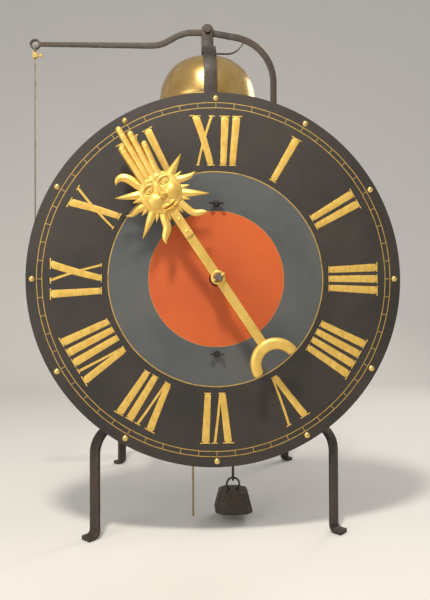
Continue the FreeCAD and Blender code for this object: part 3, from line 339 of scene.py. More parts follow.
# Plain finishes. grain: fine marks drawn out along an axis, also the bump; first: a mask between two tones,
# or else the grain; second: a mask that lays a third tone over them; rough and metal: a start, then the
# shares of grain, first and second
plainLooks = {
    "filed_iron": Settings(
        grain=(60, 5, 0.7), drawn=(1, 0.15, 1), first=(9, 5, 0.62, 0.42, 0.68),
        second=(28, 6, 0.68, 0.60, 0.78), lay=0.6, bump=(0.0004, 0.45),
        tones=[(0.235, 0.212, 0.185), (0.105, 0.085, 0.066), (0.155, 0.070, 0.030)],
        rough=(0.3, 0.1, 0.2, 0.2), metal=(0.85, 0, 0, -0.5)),
    "numeral_gold": Settings(
        grain=(70, 5, 0.65), drawn=(1, 1, 0.5), second=(36, 6, 0.7, 0.62, 0.80), lay=0.55,
        tones=[(0.58, 0.345, 0.055), (0.76, 0.52, 0.125), (0.16, 0.095, 0.03)], rough=(0.42, 0.1, 0, 0.2),
        metal=(0.35,), bump=(0.0005, 0.4)),
    "turned_brass": Settings(
        grain=(300, 4, 0.7), drawn=(1, 1, 0.2), first=(30, 5, 0.65, 0.45, 0.72),
        tones=[(0.78, 0.56, 0.20), (0.40, 0.25, 0.085)], rough=(0.2, 0.06, 0.25), metal=(0.9,),
        bump=(0.0002, 0.3)),
    "drawn_wire": Settings(
        grain=(260, 4, 0.7), drawn=(1, 1, 0.03), first=(34, 5, 0.65, 0.50, 0.75),
        tones=[(0.30, 0.245, 0.185), (0.125, 0.072, 0.040)], rough=(0.32, 0.08, 0.3),
        metal=(0.8, 0, -0.4), bump=(0.0002, 0.4)),
    "hemp": Settings(
        grain=(1, 5, 0.7), fibres=(60, 9), second=(24, 4, 0.6, 0.35, 0.7), lay=0.4,
        tones=[(0.30, 0.205, 0.11), (0.58, 0.445, 0.275), (0.23, 0.155, 0.085)], rough=(0.9,), metal=(0,),
        bump=(0.0007, 0.8))}


def plainFinish(name):
    look = plainLooks[name]
    f = Finish(name)
    if "fibres" in look:  # along and round each strand of a rope
        along, around = look.fibres
        inputs = {"X": f.own("fibre") * along, "Y": f.own("strand") * around}
        place = f.add("ShaderNodeCombineXYZ", {}, inputs)
    else:
        place = f.stretch(look.drawn)
    grain = f.noise(*look.grain, place)

    def mask(scale, detail, rough, low, high):
        return f.noise(scale, detail, rough).ramp(low, high)

    masks = [grain, mask(*look.first) if "first" in look else grain.ramp(0.3, 0.7)]
    colour = f.blend(masks[1], *look.tones[:2])
    if "second" in look:
        masks.append(mask(*look.second))
        colour = f.blend(masks[2] * look.lay, colour, look.tones[2])

    def mixed(start, *shares):
        return sum((part * share for part, share in zip(masks, shares) if share), start)

    return f.done(color=colour, rough=mixed(*look.rough), metal=mixed(*look.metal),
                  normal=f.bump(grain, *look.bump))


# deep: the tone of darker laps, and of the painted shade in hollows, creases and along the sides
giltLook = Settings(gold=(0.80, 0.515, 0.105), pale=(0.90, 0.66, 0.21), deep=(0.42, 0.205, 0.035))


def gilding(name, withPaintedShade):  # leaf laid by hand: pale clouds, darker laps, and painted shade in a deeper tone in hollows, creases and along the sides
    look = giltLook
    f = Finish(name)
    laps = f.cells(42).ramp(0.1, 0.75)
    cloud = f.noise(16, 5, 0.6).ramp(0.35, 0.7)
    grain = f.noise(420, 3, 0.7)
    colour = f.blend(laps * 0.18, f.blend(cloud * 0.55, look.gold, look.pale), look.deep)
    rough = 0.30 + cloud * 0.12 + grain * 0.08
    if withPaintedShade:
        # painted shade: darker and rougher in hollows, creases and along the sides of rays, fingers and the
        # moon
        paintedShade = f.own("paintedShade").ramp(0.05, 1)
        colour = f.blend(paintedShade * 0.85, colour, look.deep)
        rough = rough + paintedShade * 0.2
    normal = f.bump(grain, 0.0003, 0.3, f.bump(f.noise(90, 3, 0.5), 0.0012, 0.25))
    return f.done(color=colour, rough=rough, metal=0.62, normal=normal)


dialLook = Settings(
    centre=0.840, face=-0.5299, red=0.217, slate=0.344, trackIn=0.5495, trackOut=0.566, line=0.0012,
    tick=0.0010, ticks=60, ringEdge=0.0006, lineEdge=0.0005, tickEdge=0.0004, faceEdge=0.0002,
    unsteady=0.0022, black=(0.017, 0.0135, 0.011), dust=(0.046, 0.036, 0.027),
    slateBlue=(0.066, 0.076, 0.082), slatePale=(0.103, 0.107, 0.103), vermilion=(0.66, 0.118, 0.010),
    redDeep=(0.52, 0.076, 0.008), gold=(0.66, 0.42, 0.085), goldWorn=(0.30, 0.175, 0.045))


def dialPaint(name):  # rings and minute track by distance and angle round the dial's centre
    look = dialLook
    f = Finish(name)
    x, y, z = f.axes()
    up = z - look.centre
    wobble = (f.noise(24, 2, 0.5) - 0.5) * look.unsteady  # the brush is not quite steady
    reach = (x * x + up * up) ** 0.5 + wobble
    cloud = f.noise(5, 6, 0.62).ramp(0.34, 0.68)
    strokes = f.noise(34, 6, 0.7, f.stretch((1, 1, 0.35)))
    wear = f.noise(55, 6, 0.72).ramp(0.60, 0.80)
    black = f.blend(cloud * 0.5 + wear * 0.3, look.black, look.dust)
    slate = f.blend(cloud * 0.7 + strokes * 0.25, look.slateBlue, look.slatePale)
    red = f.blend(cloud * 0.6 + strokes * 0.35, look.vermilion, look.redDeep)
    gold = f.blend(f.noise(80, 4, 0.7).ramp(0.50, 0.72), look.gold, look.goldWorn)
    ground = f.blend(reach.over(look.red, look.ringEdge), red, slate)
    ground = f.blend(reach.over(look.slate, look.ringEdge), ground, black)

    def ring(at, wide=1.0):
        return 1 - (reach - look[at]).size().over(look.line * wide, look.lineEdge)

    turn = f.math("ARCTAN2", x, up) * (look.ticks / fullTurn)
    apart = f.math("PINGPONG", turn + wobble * 6, 0.5)  # from the nearest tick, in ticks
    inTrack = reach.over(look.trackIn, look.tickEdge) * (1 - reach.over(look.trackOut, look.tickEdge))
    ticks = (1 - (apart * reach * (fullTurn / look.ticks)).over(look.tick, look.tickEdge)) * inTrack
    marks = ring("trackIn").top(ring("trackOut")).top(ticks)
    marks = marks.top(ring("slate", 1.35)).top(ring("red", 0.55) * 0.7)
    front = 1 - y.over(look.face, look.faceEdge)  # the painted side only
    marks = marks * front * (1 - wear * 0.45)
    bare = f.blend(cloud, ironLook.dark, ironLook.brown)
    colour = f.blend(front, bare, f.blend(marks, ground, gold))
    rough = 0.44 + cloud * 0.14 + strokes * 0.1 - marks * 0.06
    cracks = 1 - f.cells(120, "DISTANCE_TO_EDGE").ramp(0.0, 0.05)
    height = strokes * 0.7 + marks * 0.6 - cracks * 0.25
    return f.done(color=colour, rough=rough, metal=marks * 0.35, normal=f.bump(height, 0.0006, 0.35))


bellLook = Settings(
    bright=(0.60, 0.405, 0.150), warm=(0.46, 0.275, 0.088), film=(0.235, 0.155, 0.065), lines=900)


def bellBronze(name):  # turned lines round the bell, brown film in clouds and streaks
    look = bellLook
    f = Finish(name)
    height = f.axes()[2]
    lines = f.noise(1, 5, 0.7, f.add("ShaderNodeCombineXYZ", {}, {"Z": height * look.lines}))
    cloud = f.noise(9, 6, 0.62, None, 0.6).ramp(0.40, 0.72)
    streak = f.noise(26, 5, 0.65, f.stretch((1, 1, 0.12))).ramp(0.52, 0.76)
    spots = f.noise(130, 4, 0.7).ramp(0.62, 0.76)
    film = (streak * 0.45).top(spots * 0.4)
    colour = f.blend(film, f.blend(cloud, look.bright, look.warm), look.film)
    rough = 0.20 + cloud * 0.10 + streak * 0.14 + lines * 0.05
    return f.done(color=colour, rough=rough, metal=0.95, normal=f.bump(lines, 0.00026, 0.6))


iron = forgedIron("forged_iron", False)
ironWearAndHighlight = forgedIron("forged_iron_wear_and_highlight", True)
gilt = gilding("gilt", False)
giltWithPaintedShade = gilding("gilt_painted_shade", True)
bronze = bellBronze("bell_bronze")
plain = {name: plainFinish(name) for name in plainLooks}
print("finishes ready")


# Finishes of the solids that are shown as they are
finishOf = {"dial_plate": dialPaint("dial_paint"), "dial_rivets": plain["turned_brass"],
            "wire_clamp": plain["turned_brass"], "pull_wire": plain["drawn_wire"], "hand_rivets": gilt,
            "hand_pin": gilt, "bell": bronze}
wheels = ("going_great_wheel", "second_wheel", "crown_wheel", "rope_wheel", "strike_great_wheel",
          "strike_second_wheel", "fly", "count_wheel", "hour_wheel", "verge")
finishOf.update(dict.fromkeys(wheels, plain["filed_iron"]))
for name, solid in nodes.items():
    solid.data.materials.clear()
    solid.data.materials.append(finishOf.get(name, iron))
print("solids finished")


# Numerals: brush strokes a fraction of a millimetre proud of the dial, feet towards the centre
numeralSizes = Settings(
    inner=0.363, outer=0.5245, centre=0.840, face=0.530, narrow=0.78, proud=0.0004, thick=0.0248,
    thin=0.0085, gap=0.0125, split=0.026, crossWide=0.070, veeAlone=0.078, veeShort=0.061,
    veeNarrow=0.053, veeFoot=(-0.012, 0.010), veeMeet=(-0.004, 0.006), veeLean=-0.001, veeThick=0.96,
    shake=0.0005, serif=0.0036, hang=0.0052, near=0.0022, footHang=0.55, thinLift=1.12, serifLift=0.82,
    across=(-1, -1, -0.955, 0.955, 1, 1), tall=(-0.5, 0.6, 1, 1, 0.6, -0.5), endTall=0.2)
hourMarks = ["XII", "I", "II", "III", "IIII", "V", "VI", "VII", "VIII", "IX", "X", "XI"]
mirroredHour = 9  # its cross is painted the other way round


# A stroke: straight between its two ends, edges shaken by slow waves, section a low flat-topped ridge;
# towards the centre it narrows, unless it is an even bar
def brushStroke(hour, outerX, innerX, wide, outerR, innerR, lift, seed, even):
    sizes = numeralSizes
    share = np.linspace(0, 1, 22)[:, None]
    across = np.array(sizes.across)
    height = np.array(sizes.tall) * sizes.proud * lift
    inside = np.minimum(share, 1 - share) > 0
    squeeze = sizes.narrow + (1 - sizes.narrow) * share
    shake = sizes.shake * handWork(share, np.sign(across), seed) * inside
    x = (innerX + (outerX - innerX) * share + across * wide / 2 * inside) * squeeze + shake
    if even:
        x = x / squeeze
    r = innerR + (outerR - innerR) * share
    h = np.where(inside, height, sizes.proud * sizes.endTall)
    turn = hour * fullTurn / 12
    grid = np.stack([r * math.sin(turn) + x * math.cos(turn), -(sizes.face + h),
                     sizes.centre + r * math.cos(turn) - x * math.sin(turn)], -1)
    return {"grid": grid}


def makeNumerals():
    sizes = numeralSizes
    thick, thin, bar, hang = (sizes[key] for key in ("thick", "thin", "serif", "hang"))
    strokes = []

    def stroke(outerX, innerX, wide, lift=1.0):
        strokes.append(brushStroke(hour, outerX, innerX, wide, sizes.outer, sizes.inner, lift,
                                   len(strokes), False))

    def serif(left, right, outer, leftHang=hang, rightHang=hang):
        over = 1 if outer else sizes.footHang  # the foot bars hang over less
        squeeze = 1 if outer else sizes.narrow
        left, right = (left - leftHang * over) * squeeze, (right + rightHang * over) * squeeze
        low = sizes.outer - bar if outer else sizes.inner
        strokes.append(brushStroke(hour, (left + right) / 2, (left + right) / 2, right - left, low + bar, low,
                                   sizes.serifLift, len(strokes), True))

    def upright(left, right, mark, place):
        stroke((left + right) / 2, (left + right) / 2, thick)
        beside = (mark[place - 1:place], mark[place + 1:place + 2])
        hangs = [sizes.near if letter in ("I", "V") else hang for letter in beside]
        serif(left, right, True, *hangs)
        serif(left, right, False, *hangs)

    def vee(left, right):
        foot = (left + right) / 2 + sizes.veeLean
        stroke(left + thick / 2, foot + sizes.veeMeet[0], thick * sizes.veeThick)
        stroke(right - thin / 2, foot + sizes.veeMeet[1], thin, sizes.thinLift)
        serif(left, left + thick, True)
        serif(right - thin, right, True)
        serif(foot + sizes.veeFoot[0], foot + sizes.veeFoot[1], False)

    def cross(left, right):
        order = -1 if hour == mirroredHour else 1
        wideEnds = ((left, left + thick), (right - thick, right))[::order]
        thinEnds = ((right - thin, right), (left, left + thin))[::order]
        for ends, wide, lift in ((wideEnds, thick, 1.0), (thinEnds, thin, sizes.thinLift)):
            stroke(sum(ends[0]) / 2, sum(ends[1]) / 2, wide, lift)
            serif(*ends[0], True)
            serif(*ends[1], False)

    for hour, mark in enumerate(hourMarks):
        veeWide = sizes["veeAlone" if mark == "V" else "veeNarrow" if mark == "VIII" else "veeShort"]
        widths = [{"I": thick, "V": veeWide, "X": sizes.crossWide}[letter] for letter in mark]
        gaps = [sizes.split if "X" in pair else sizes.gap for pair in zip(mark, mark[1:])] + [0]
        left = -(sum(widths) + sum(gaps)) / 2
        for place, letter in enumerate(mark):
            right = left + widths[place]
            if letter == "I":
                upright(left, right, mark, place)
            elif letter == "V":
                vee(left, right)
            else:
                cross(left, right)
            left = right + gaps[place]
    makePiece("numerals", strokes, plain["numeral_gold"], "frame", [], 40)


makeNumerals()
print("numerals painted")


# The hand's own frame in millimetres: a across, b along to the fingers, depth in front of the cage's middle
handPlace = Settings(turn=math.radians(-33.9), middle=840)
millimetre = 0.001


def inHand(a, b, depth):
    a, b, depth = np.broadcast_arrays(a, b, depth)
    cos, sin = math.cos(handPlace.turn), math.sin(handPlace.turn)
    return np.stack([a * cos + b * sin, -depth, handPlace.middle - a * sin + b * cos], -1) * millimetre


# A flat bar along the hand: round-cornered section, width shaken a little, closed at both ends
def handBar(low, high, half, back, front, corner, seed, shake=0.18):
    along = np.concatenate([[low, low], np.linspace(low + corner, high - corner, 90), [high, high]])[:, None]
    inset = np.zeros_like(along)
    inset[[1, -2]] = corner
    draw = shutEnds(len(along))[:, None]
    signA, signB, outA, outB = cornerArcs()[:4]
    uneven = shake * (handWork(along * millimetre, signA, seed) - 1)
    a = (signA * (half - corner - inset + uneven) + corner * outA) * draw
    d = (signB * ((front - back) / 2 - corner - inset) + corner * outB) * draw
    return {"grid": inHand(a, along, (front + back) / 2 + d)}


barSizes = Settings(
    bar=dict(low=-256, high=243, half=14.5, back=596, front=604, corner=1.3, seed=3),
    boss=[(0, 589), (21.3, 589), (22.5, 590.2), (22.5, 608), (21.9, 609.6), (20.3, 610.7), (18, 611),
        (14.6, 611), (14, 610.2), (0, 610.2)],
    bossHollow=[0, 0, 0, 0, 0, 0, 0, 0.4, 1, 1])


# The bar with its boss, a profile of radius and depth carried round
def makeHandBar():
    sizes = barSizes
    radius, depth = np.array(sizes.boss).T[..., None]
    turn = roundAngles(72)
    # painted shade on the boss's recessed middle
    boss = {"grid": inHand(radius * np.sin(turn), radius * np.cos(turn), depth),
            "paintedShade": np.array(sizes.bossHollow)[:, None]}
    makePiece("hand_bar_gilt", [handBar(**sizes.bar), boss], giltWithPaintedShade, "hand", ["hand_bar"], 38)


sunSizes = Settings(
    middle=313, rim=66, plate=611, back=604, edge=610.2, rayFront=610.9, root=54,
    straight=[(-125, 153), (-64, 141.5), (61, 137), (124, 149)], straightHalf=13.5,
    short=(-166, -138, -107, -77, 77, 108, 136, 165), shortTip=92, shortHalf=8.5, shortTall=0.7, look=2.6,
    rayFoot=1.2, bow=1.25, bentBow=1.35, bentFade=0.45, narrow=0.82, belly=0.16, tipHalf=0.5,
    tipTall=0.35, tipFrom=0.5, tipPower=0.6, footFade=0.7, backHalf=0.92, rootReach=0.14, rootDark=4,
    sideFrom=0.72, sideDark=2, broad=(0, 0.9), brink=(0.91, 0.985),
    tail=dict(low=153, high=283, half=14.4, back=604, front=610, corner=0.9, seed=8))

# Middle lines of the bent rays from the sun's centre, across and up, each with its half widths
bentRays = [{"line": [(-21, -47), (-27, -57), (-36.6, -77), (-41, -98), (-56, -113), (-69, -123),
                      (-74, -141)],
             "half": [14.5, 14, 12.8, 12.6, 11.8, 9, 1]},
            {"line": [(27, -46), (34, -63), (40.5, -85), (46.5, -104), (58, -114), (76, -120.5), (87, -127)],
             "half": [12.5, 11.8, 10.8, 10.6, 10, 8, 2]},
            {"line": [(-52, -9), (-63, -8), (-78, -6), (-93, -6.5), (-107, -10), (-119, -8.5), (-129, 0)],
             "half": [13, 12, 11, 9, 6.4, 4.2, 1]},
            {"line": [(52, 7), (66, 4), (83, -1.5), (99, -5.5), (113, -6), (126, -3)],
             "half": [13, 12, 10.4, 8.6, 5.6, 1]},
            {"line": [(-38, 40), (-46, 58), (-54, 79), (-63, 95), (-76, 105), (-91, 105), (-102, 92)],
             "half": [14, 14, 13.4, 12.8, 11.6, 8, 1]}]

# The face, from its middle; knobs and humps are height, place across and up, half sizes across and up
faceSizes = Settings(
    dome=8.5, top=25.7, edge=0.10,
    knobs=Settings(cheeks=(8.5, 31, -16, 23, 25, 0.9), noseEnd=(10, 0, -12, 11.5, 12, 0.75),
        eyeballs=(3, 28, 22, 15, 10, 1)),
    humps=Settings(forehead=(3.2, 20, 47, 15, 8), nostrils=(3, 10.5, -16, 3.5, 4),
        sockets=(-2.6, 28, 22, 13, 9), mouthEnds=(-2.4, 23, -49, 4, 4)),
    bridge=Settings(tall=5, half=4.4, low=-16, lowSoft=2.2, high=30, highSoft=5),
    brow=Settings(tall=2.8, half=2.2, at=27, span=17, up=36, peak=26, bow=0.014),
    lids=Settings(rings=(0.52, 0.98), deep=1.9, half=0.13),
    upperLip=Settings(tall=4.6, half=2.6, up=-45.5, bow=0.004, dip=2.2, dipHalf=4),
    lowerLip=Settings(tall=5.2, half=2.8, up=-58, bow=0.008), lipSpan=21,
    mouth=Settings(deep=4.2, half=2.3, up=-51.6, bow=0.006, span=18))


def swell(gap, half):
    return np.exp(-(gap / half) ** 2 / 2)


def slope(value):
    return 1 / (1 + np.exp(-value))


# Height of the face: a dome, with round knobs and humps for cheeks, forehead, nose, brows, eyes and lips, and
# cut lines round the eyes and between the lips
def sunRelief(a, s):
    sizes = faceSizes
    side = np.abs(a)
    reach = np.hypot(a, s) / sunSizes.rim
    height = sizes.dome * np.sqrt(np.clip(1 - reach ** 2, 0, 1))
    for tall, atA, atS, halfA, halfS, fall in sizes.knobs.values():
        inside = np.clip(1 - ((side - atA) / halfA) ** 2 - ((s - atS) / halfS) ** 2, 0, 1)
        height = height + tall * inside ** fall
    for tall, atA, atS, halfA, halfS in sizes.humps.values():
        height = height + tall * swell(side - atA, halfA) * swell(s - atS, halfS)
    part = sizes.bridge
    ends = slope((s - part.low) / part.lowSoft) * slope((part.high - s) / part.highSoft)
    height = height + part.tall * ends * swell(a, part.half)
    part = sizes.brow
    line = part.up - part.bow * (side - part.peak) ** 2
    height = height + part.tall * hill(side - part.at, part.span, 4) * swell(s - line, part.half)
    part = sizes.lids
    atA, atS, halfA, halfS = sizes.knobs.eyeballs[1:5]
    lids = np.hypot((side - atA) / halfA, (s - atS) / halfS)
    for ring in part.rings:
        height = height - part.deep * hill(lids - ring, part.half)
    part = sizes.upperLip
    line = part.up - part.dip * hill(a, part.dipHalf) + part.bow * a ** 2
    lips = part.tall * swell(s - line, part.half)
    part = sizes.lowerLip
    lips = lips + part.tall * swell(s - part.up - part.bow * a ** 2, part.half)
    height = height + lips * hill(a, sizes.lipSpan, 6)
    part = sizes.mouth
    cut = hill(s - part.up - part.bow * a ** 2, part.half) * hill(a, part.span, 6)
    height = height - part.deep * cut
    return np.clip(height, 0, sizes.top) * np.sqrt(np.clip((1 - reach) / sizes.edge, 0, 1))


# The face: rings from the middle out to the rim, then the plate's edge and its flat back; what lies lower
# than the points round about it gets painted shade
def sunFace():
    sizes = sunSizes
    turn = roundAngles(400)
    share = np.concatenate([np.linspace(*sizes.broad, 76), np.linspace(*sizes.brink, 8)])[:, None]
    reach = share * sizes.rim
    a, s = reach * np.sin(turn), reach * np.cos(turn)
    height = sunRelief(a, s)
    looks = [(sizes.look * math.cos(way), sizes.look * math.sin(way)) for way in roundAngles(8)]
    around = sum(sunRelief(a + lookA, s + lookS) for lookA, lookS in looks) / len(looks)
    front = inHand(a, sizes.middle + s, sizes.plate + height)
    reach = np.array([sizes.rim, sizes.rim, 0])[:, None]
    depth = np.array([sizes.edge, sizes.back, sizes.back])[:, None]
    rim = inHand(reach * np.sin(turn), sizes.middle + reach * np.cos(turn), depth)
    paintedShade = np.concatenate([np.clip(around - height, 0, 1), np.zeros(rim.shape[:2])])
    return {"grid": np.concatenate([front, rim]), "paintedShade": paintedShade}


# A ridge on a line: across it the height falls from the middle by a power, the back is flat, the ends closed
def ridge(a, s, wide, tall, foot, bow):
    sizes = sunSizes
    face = np.linspace(-1, 1, 15)
    around = np.concatenate([face, np.linspace(sizes.backHalf, -sizes.backHalf, 5)])
    rise = np.concatenate([1 - np.abs(face) ** bow, np.full(5, -1)])
    draw = shutEnds(len(a))[:, None]
    depth = np.where(rise < 0, 0, foot[:, None] + (tall[:, None] - sizes.rayFoot) * rise) * draw
    wayA, wayS = np.gradient(a), np.gradient(s)
    across = around * wide[:, None] * draw / np.hypot(wayA, wayS)[:, None]
    # painted shade at the ray's root, where it leaves the face, and along its sides
    root = np.clip(sizes.rootReach - np.linspace(0, 1, len(a)), 0, 1)[:, None]  # where it leaves the face
    side = np.clip(np.abs(around) - sizes.sideFrom, 0, 1)
    paintedShade = np.clip(side * sizes.sideDark + root * sizes.rootDark, 0, 1)
    grid = inHand(a[:, None] + wayS[:, None] * across, sizes.middle + s[:, None] - wayA[:, None] * across,
                  sizes.back + depth)
    return {"grid": grid, "paintedShade": paintedShade}


# A straight ray: swelling a little, then narrowing to its tip
def sunRay(angle, tip, half, thin=1.0):
    sizes = sunSizes
    share = np.linspace(0, 1, 40)
    wide = half * (1 - share) ** sizes.narrow * (1 + sizes.belly * np.sin(math.pi * share)) + sizes.tipHalf
    fade = np.clip((1 - share) / sizes.tipFrom, 0, 1) ** sizes.tipPower
    tall = (sizes.rayFront - sizes.back) * thin * (sizes.tipTall + (1 - sizes.tipTall) * fade)
    radius = sizes.root + (tip - sizes.root) * share
    heading = math.radians(angle)
    foot = sizes.rayFoot * (1 - share * sizes.footFade)
    return ridge(radius * math.sin(heading), radius * math.cos(heading), wide, tall, foot, sizes.bow)


# A bent ray: a line through given points, smoothed by a running mean
def bentRay(line, half):
    sizes = sunSizes
    line = np.array(line, float)
    way = gone(line)
    share = np.linspace(0, 1, 56)

    def smooth(values):
        drawn = np.pad(np.interp(share * way[-1], way, values), 5, mode="reflect", reflect_type="odd")
        return np.convolve(drawn, np.ones(11) / 11, "valid")

    tall = (sizes.rayFront - sizes.back) * (1 - sizes.bentFade * share ** 3)
    return ridge(smooth(line[:, 0]), smooth(line[:, 1]), np.clip(smooth(half), 0.4, None), tall,
                 np.full(len(share), sizes.rayFoot), sizes.bentBow)


def makeSun():
    sizes = sunSizes
    patches = [sunFace()] + [bentRay(**ray) for ray in bentRays]
    patches += [sunRay(angle, tip, sizes.straightHalf) for angle, tip in sizes.straight]
    patches += [sunRay(angle, sizes.shortTip, sizes.shortHalf, sizes.shortTall) for angle in sizes.short]
    patches.append(handBar(**sizes.tail))
    makePiece("sun_face_gilt", patches, giltWithPaintedShade, "hand", ["sun_face"], 55)


fingerSizes = Settings(
    base=381, below=28, pitch=17.6, tips=(486, 540, 510, 462), leans=(1, 9, 13, 14), radius=11.6,
    middle=608, slim=0.5, taper=0.6, flat=0.98, knuckles=((0.5, 0.44, 0.07), (0.4, 0.74, 0.05)),
    creases=(0.415, 0.465, 0.725, 0.755), creaseDeep=0.35, creaseHalf=0.008, nailAt=0.90, nailHalf=0.055,
    nailDeep=0.05, nailFrom=0.45, nailRim=(0.05, 0.16), creaseDark=1.6, sideFrom=0.72, sideDark=3.2,
    capFrom=0.12, palm=dict(low=320, high=396, half=37, back=597, front=604, corner=2.2, seed=5))


# A finger: a round section along a leaning line, thicker at the knuckles, with creases, a nail's edge and a
# round tip
def finger(index):
    sizes = fingerSizes
    tip, lean, radius = sizes.tips[index], sizes.leans[index], sizes.radius
    length = tip + radius - sizes.base
    cap = np.linspace(sizes.capFrom, quarterTurn, 9)
    shaft = np.linspace(-sizes.below, length - radius, 72)
    along = np.concatenate([shaft[:1], shaft, length - radius * (1 - np.sin(cap))])[:, None]
    size = np.concatenate([[0], np.ones(len(shaft)), np.cos(cap)])[:, None]
    share = along / length
    knuckle = sum(tall * hill(share - at, half) for tall, at, half in sizes.knuckles)
    crease = sizes.creaseDeep * sum(hill(share - at, sizes.creaseHalf) for at in sizes.creases)
    width = (radius - sizes.slim - sizes.taper * np.clip(share, 0, 1) + knuckle - crease) * size
    turn = roundAngles(40)
    nail = hill(share - sizes.nailAt, sizes.nailHalf, 4) * np.clip(np.cos(turn) - sizes.nailFrom, 0, 1)
    width = width * (1 - sizes.nailDeep * (nail > sizes.nailRim[0]) * (nail < sizes.nailRim[1]))
    middle = sizes.pitch * (index - 1.5) + lean * np.clip(along, 0, None) / (tip - sizes.base)
    depth = sizes.middle + width * np.cos(turn) * sizes.flat
    # painted shade on the finger's sides and in its creases
    side = np.clip(np.abs(np.sin(turn)) - sizes.sideFrom, 0, 1)
    paintedShade = np.clip(side * sizes.sideDark + crease * sizes.creaseDark, 0, 1)
    grid = inHand(middle + width * np.sin(turn), sizes.base + along, depth)
    return {"grid": grid, "paintedShade": paintedShade}


def makePointingHand():
    sizes = fingerSizes
    patches = [finger(index) for index in range(len(sizes.tips))] + [handBar(**sizes.palm)]
    makePiece("pointing_hand_gilt", patches, giltWithPaintedShade, "hand", ["pointing_hand"])


moonSizes = Settings(
    distance=321, radius=63.5, half=18.8, hornHalf=16.6, spread=92, back=604, thick=13.9, slack=0.3,
    dent=0.25, dentPace=0.065, round=0.10, tipWide=0.35, tipTall=0.25, crown=0.85, backHalf=0.96,
    rimFrom=0.93, rimDark=8, plain=0.89)


# The moon: a half-round section swept round an arc, its two ends rounded off
def makeMoon():
    sizes = moonSizes
    cap = np.linspace(0, quarterTurn, 10)
    tip = sizes.round * (1 - np.cos(cap))
    share = np.concatenate([tip - 1, np.linspace(-sizes.plain, sizes.plain, 110), 1 - tip[::-1]])[:, None]
    fade = np.concatenate([np.sin(cap), np.ones(110), np.sin(cap)[::-1]])[:, None]
    draw = shutEnds(len(share))[:, None]
    arc = np.linspace(math.pi, 0, 29)
    around = np.concatenate([np.cos(arc), np.linspace(sizes.backHalf, -sizes.backHalf, 9)])
    crown = np.concatenate([np.sin(arc) ** sizes.crown, np.zeros(9)])
    angle = share * math.radians(sizes.spread)
    wide, tall = (tip + (1 - tip) * fade for tip in (sizes.tipWide, sizes.tipTall))
    half = (sizes.half + (sizes.hornHalf - sizes.half) * share ** 2) * wide * draw
    dent = sizes.dent * handWork(angle * sizes.dentPace, around * 2, 11)
    depth = (sizes.thick - sizes.slack + dent) * crown * tall * draw
    radius = sizes.radius + around * half
    grid = inHand(radius * np.sin(angle), radius * np.cos(angle) - sizes.distance,
                  sizes.back + np.clip(depth, 0, sizes.thick))
    # painted shade along the edges of the moon's section
    moon = {"grid": grid, "paintedShade": np.clip((np.abs(around) - sizes.rimFrom) * sizes.rimDark, 0, 1)}
    makePiece("crescent_moon_gilt", [moon], giltWithPaintedShade, "hand", ["crescent_moon"], 60)


makeHandBar()
makeSun()
makePointingHand()
makeMoon()
print("hand gilded")


def makeForged(name, patches, body):
    makePiece(name + "_forged", patches, ironWearAndHighlight, body, [name], 50)


# Bent strap legs: foot, rise, knee over the floor, corner post
legSizes = Settings(
    path=dict(corners=[(0.19356, 0.007), (0.15556, 0.007), (0.15556, 0.352), (0, 0.352), (0, 1.360)],
        bends=[0.018, 0.080, 0.050], step=0.007),
    bar=dict(halfThick=0.007, halfWide=0.021, corner=0.0022), postX=0.285, postY=0.345, seed=20)


def makeLegs():
    sizes = legSizes
    path = bentPath(**sizes.path)
    corners = (("front_left", -1, -1), ("front_right", 1, -1), ("rear_left", -1, 1), ("rear_right", 1, 1))
    for number, (place, signX, signY) in enumerate(corners):
        out = np.array([signX, signY, 0]) / math.sqrt(2)
        axes = (out, (0, 0, 1), (-out[1], out[0], 0))
        foot = (signX * sizes.postX, signY * sizes.postY, 0)
        strap = forgedStrap(path, axes, foot, sizes.seed + number, **sizes.bar)
        makeForged("leg_" + place, [strap], "frame")


bellStrapSizes = Settings(
    foot=0.35205, out=0.216, low=1.367, crown=1.785, bends=[0.040, 0.165], tail=0.030, halfThick=0.007,
    halfWide=0.025, corner=0.0022, step=0.006, postLow=1.790, pivot=1.8935, postWave=0.00015,
    roundTo=0.97)


# The post above the bell: a flat bar whose half width is a half circle's over the pivot
def bellPost():
    sizes = bellStrapSizes
    head = sizes.pivot + sizes.halfWide * np.sin(np.linspace(0, quarterTurn * sizes.roundTo, 24))
    height = np.concatenate([np.linspace(sizes.postLow, sizes.pivot, 24, endpoint=False), head])
    wide = np.sqrt(sizes.halfWide ** 2 - np.clip(height - sizes.pivot, 0, None) ** 2)
    path = np.stack([0 * height, height], 1), np.tile((-1.0, 0.0), (len(height), 1))
    return forgedStrap(path, ((0, 1, 0), (0, 0, 1), (1, 0, 0)), (0, 0, 0), 33, sizes.halfThick, wide,
                       sizes.corner, sizes.postWave)


# Straps over the bell; the front one carries the post
def makeBellStraps():
    sizes = bellStrapSizes
    for end, way, seed in (("front", -1, 31), ("rear", 1, 32)):
        corners = [(sizes.foot, sizes.low), (sizes.out, sizes.low), (sizes.out, sizes.crown),
                   (way * sizes.tail, sizes.crown)]
        path = bentPath(corners, sizes.bends, sizes.step)
        strap = forgedStrap(path, ((0, way, 0), (0, 0, 1), (1, 0, 0)), (0, 0, 0), seed, sizes.halfThick,
                            sizes.halfWide, sizes.corner)
        makeForged("bell_strap_" + end, [strap, bellPost()] if end == "front" else [strap], "frame")


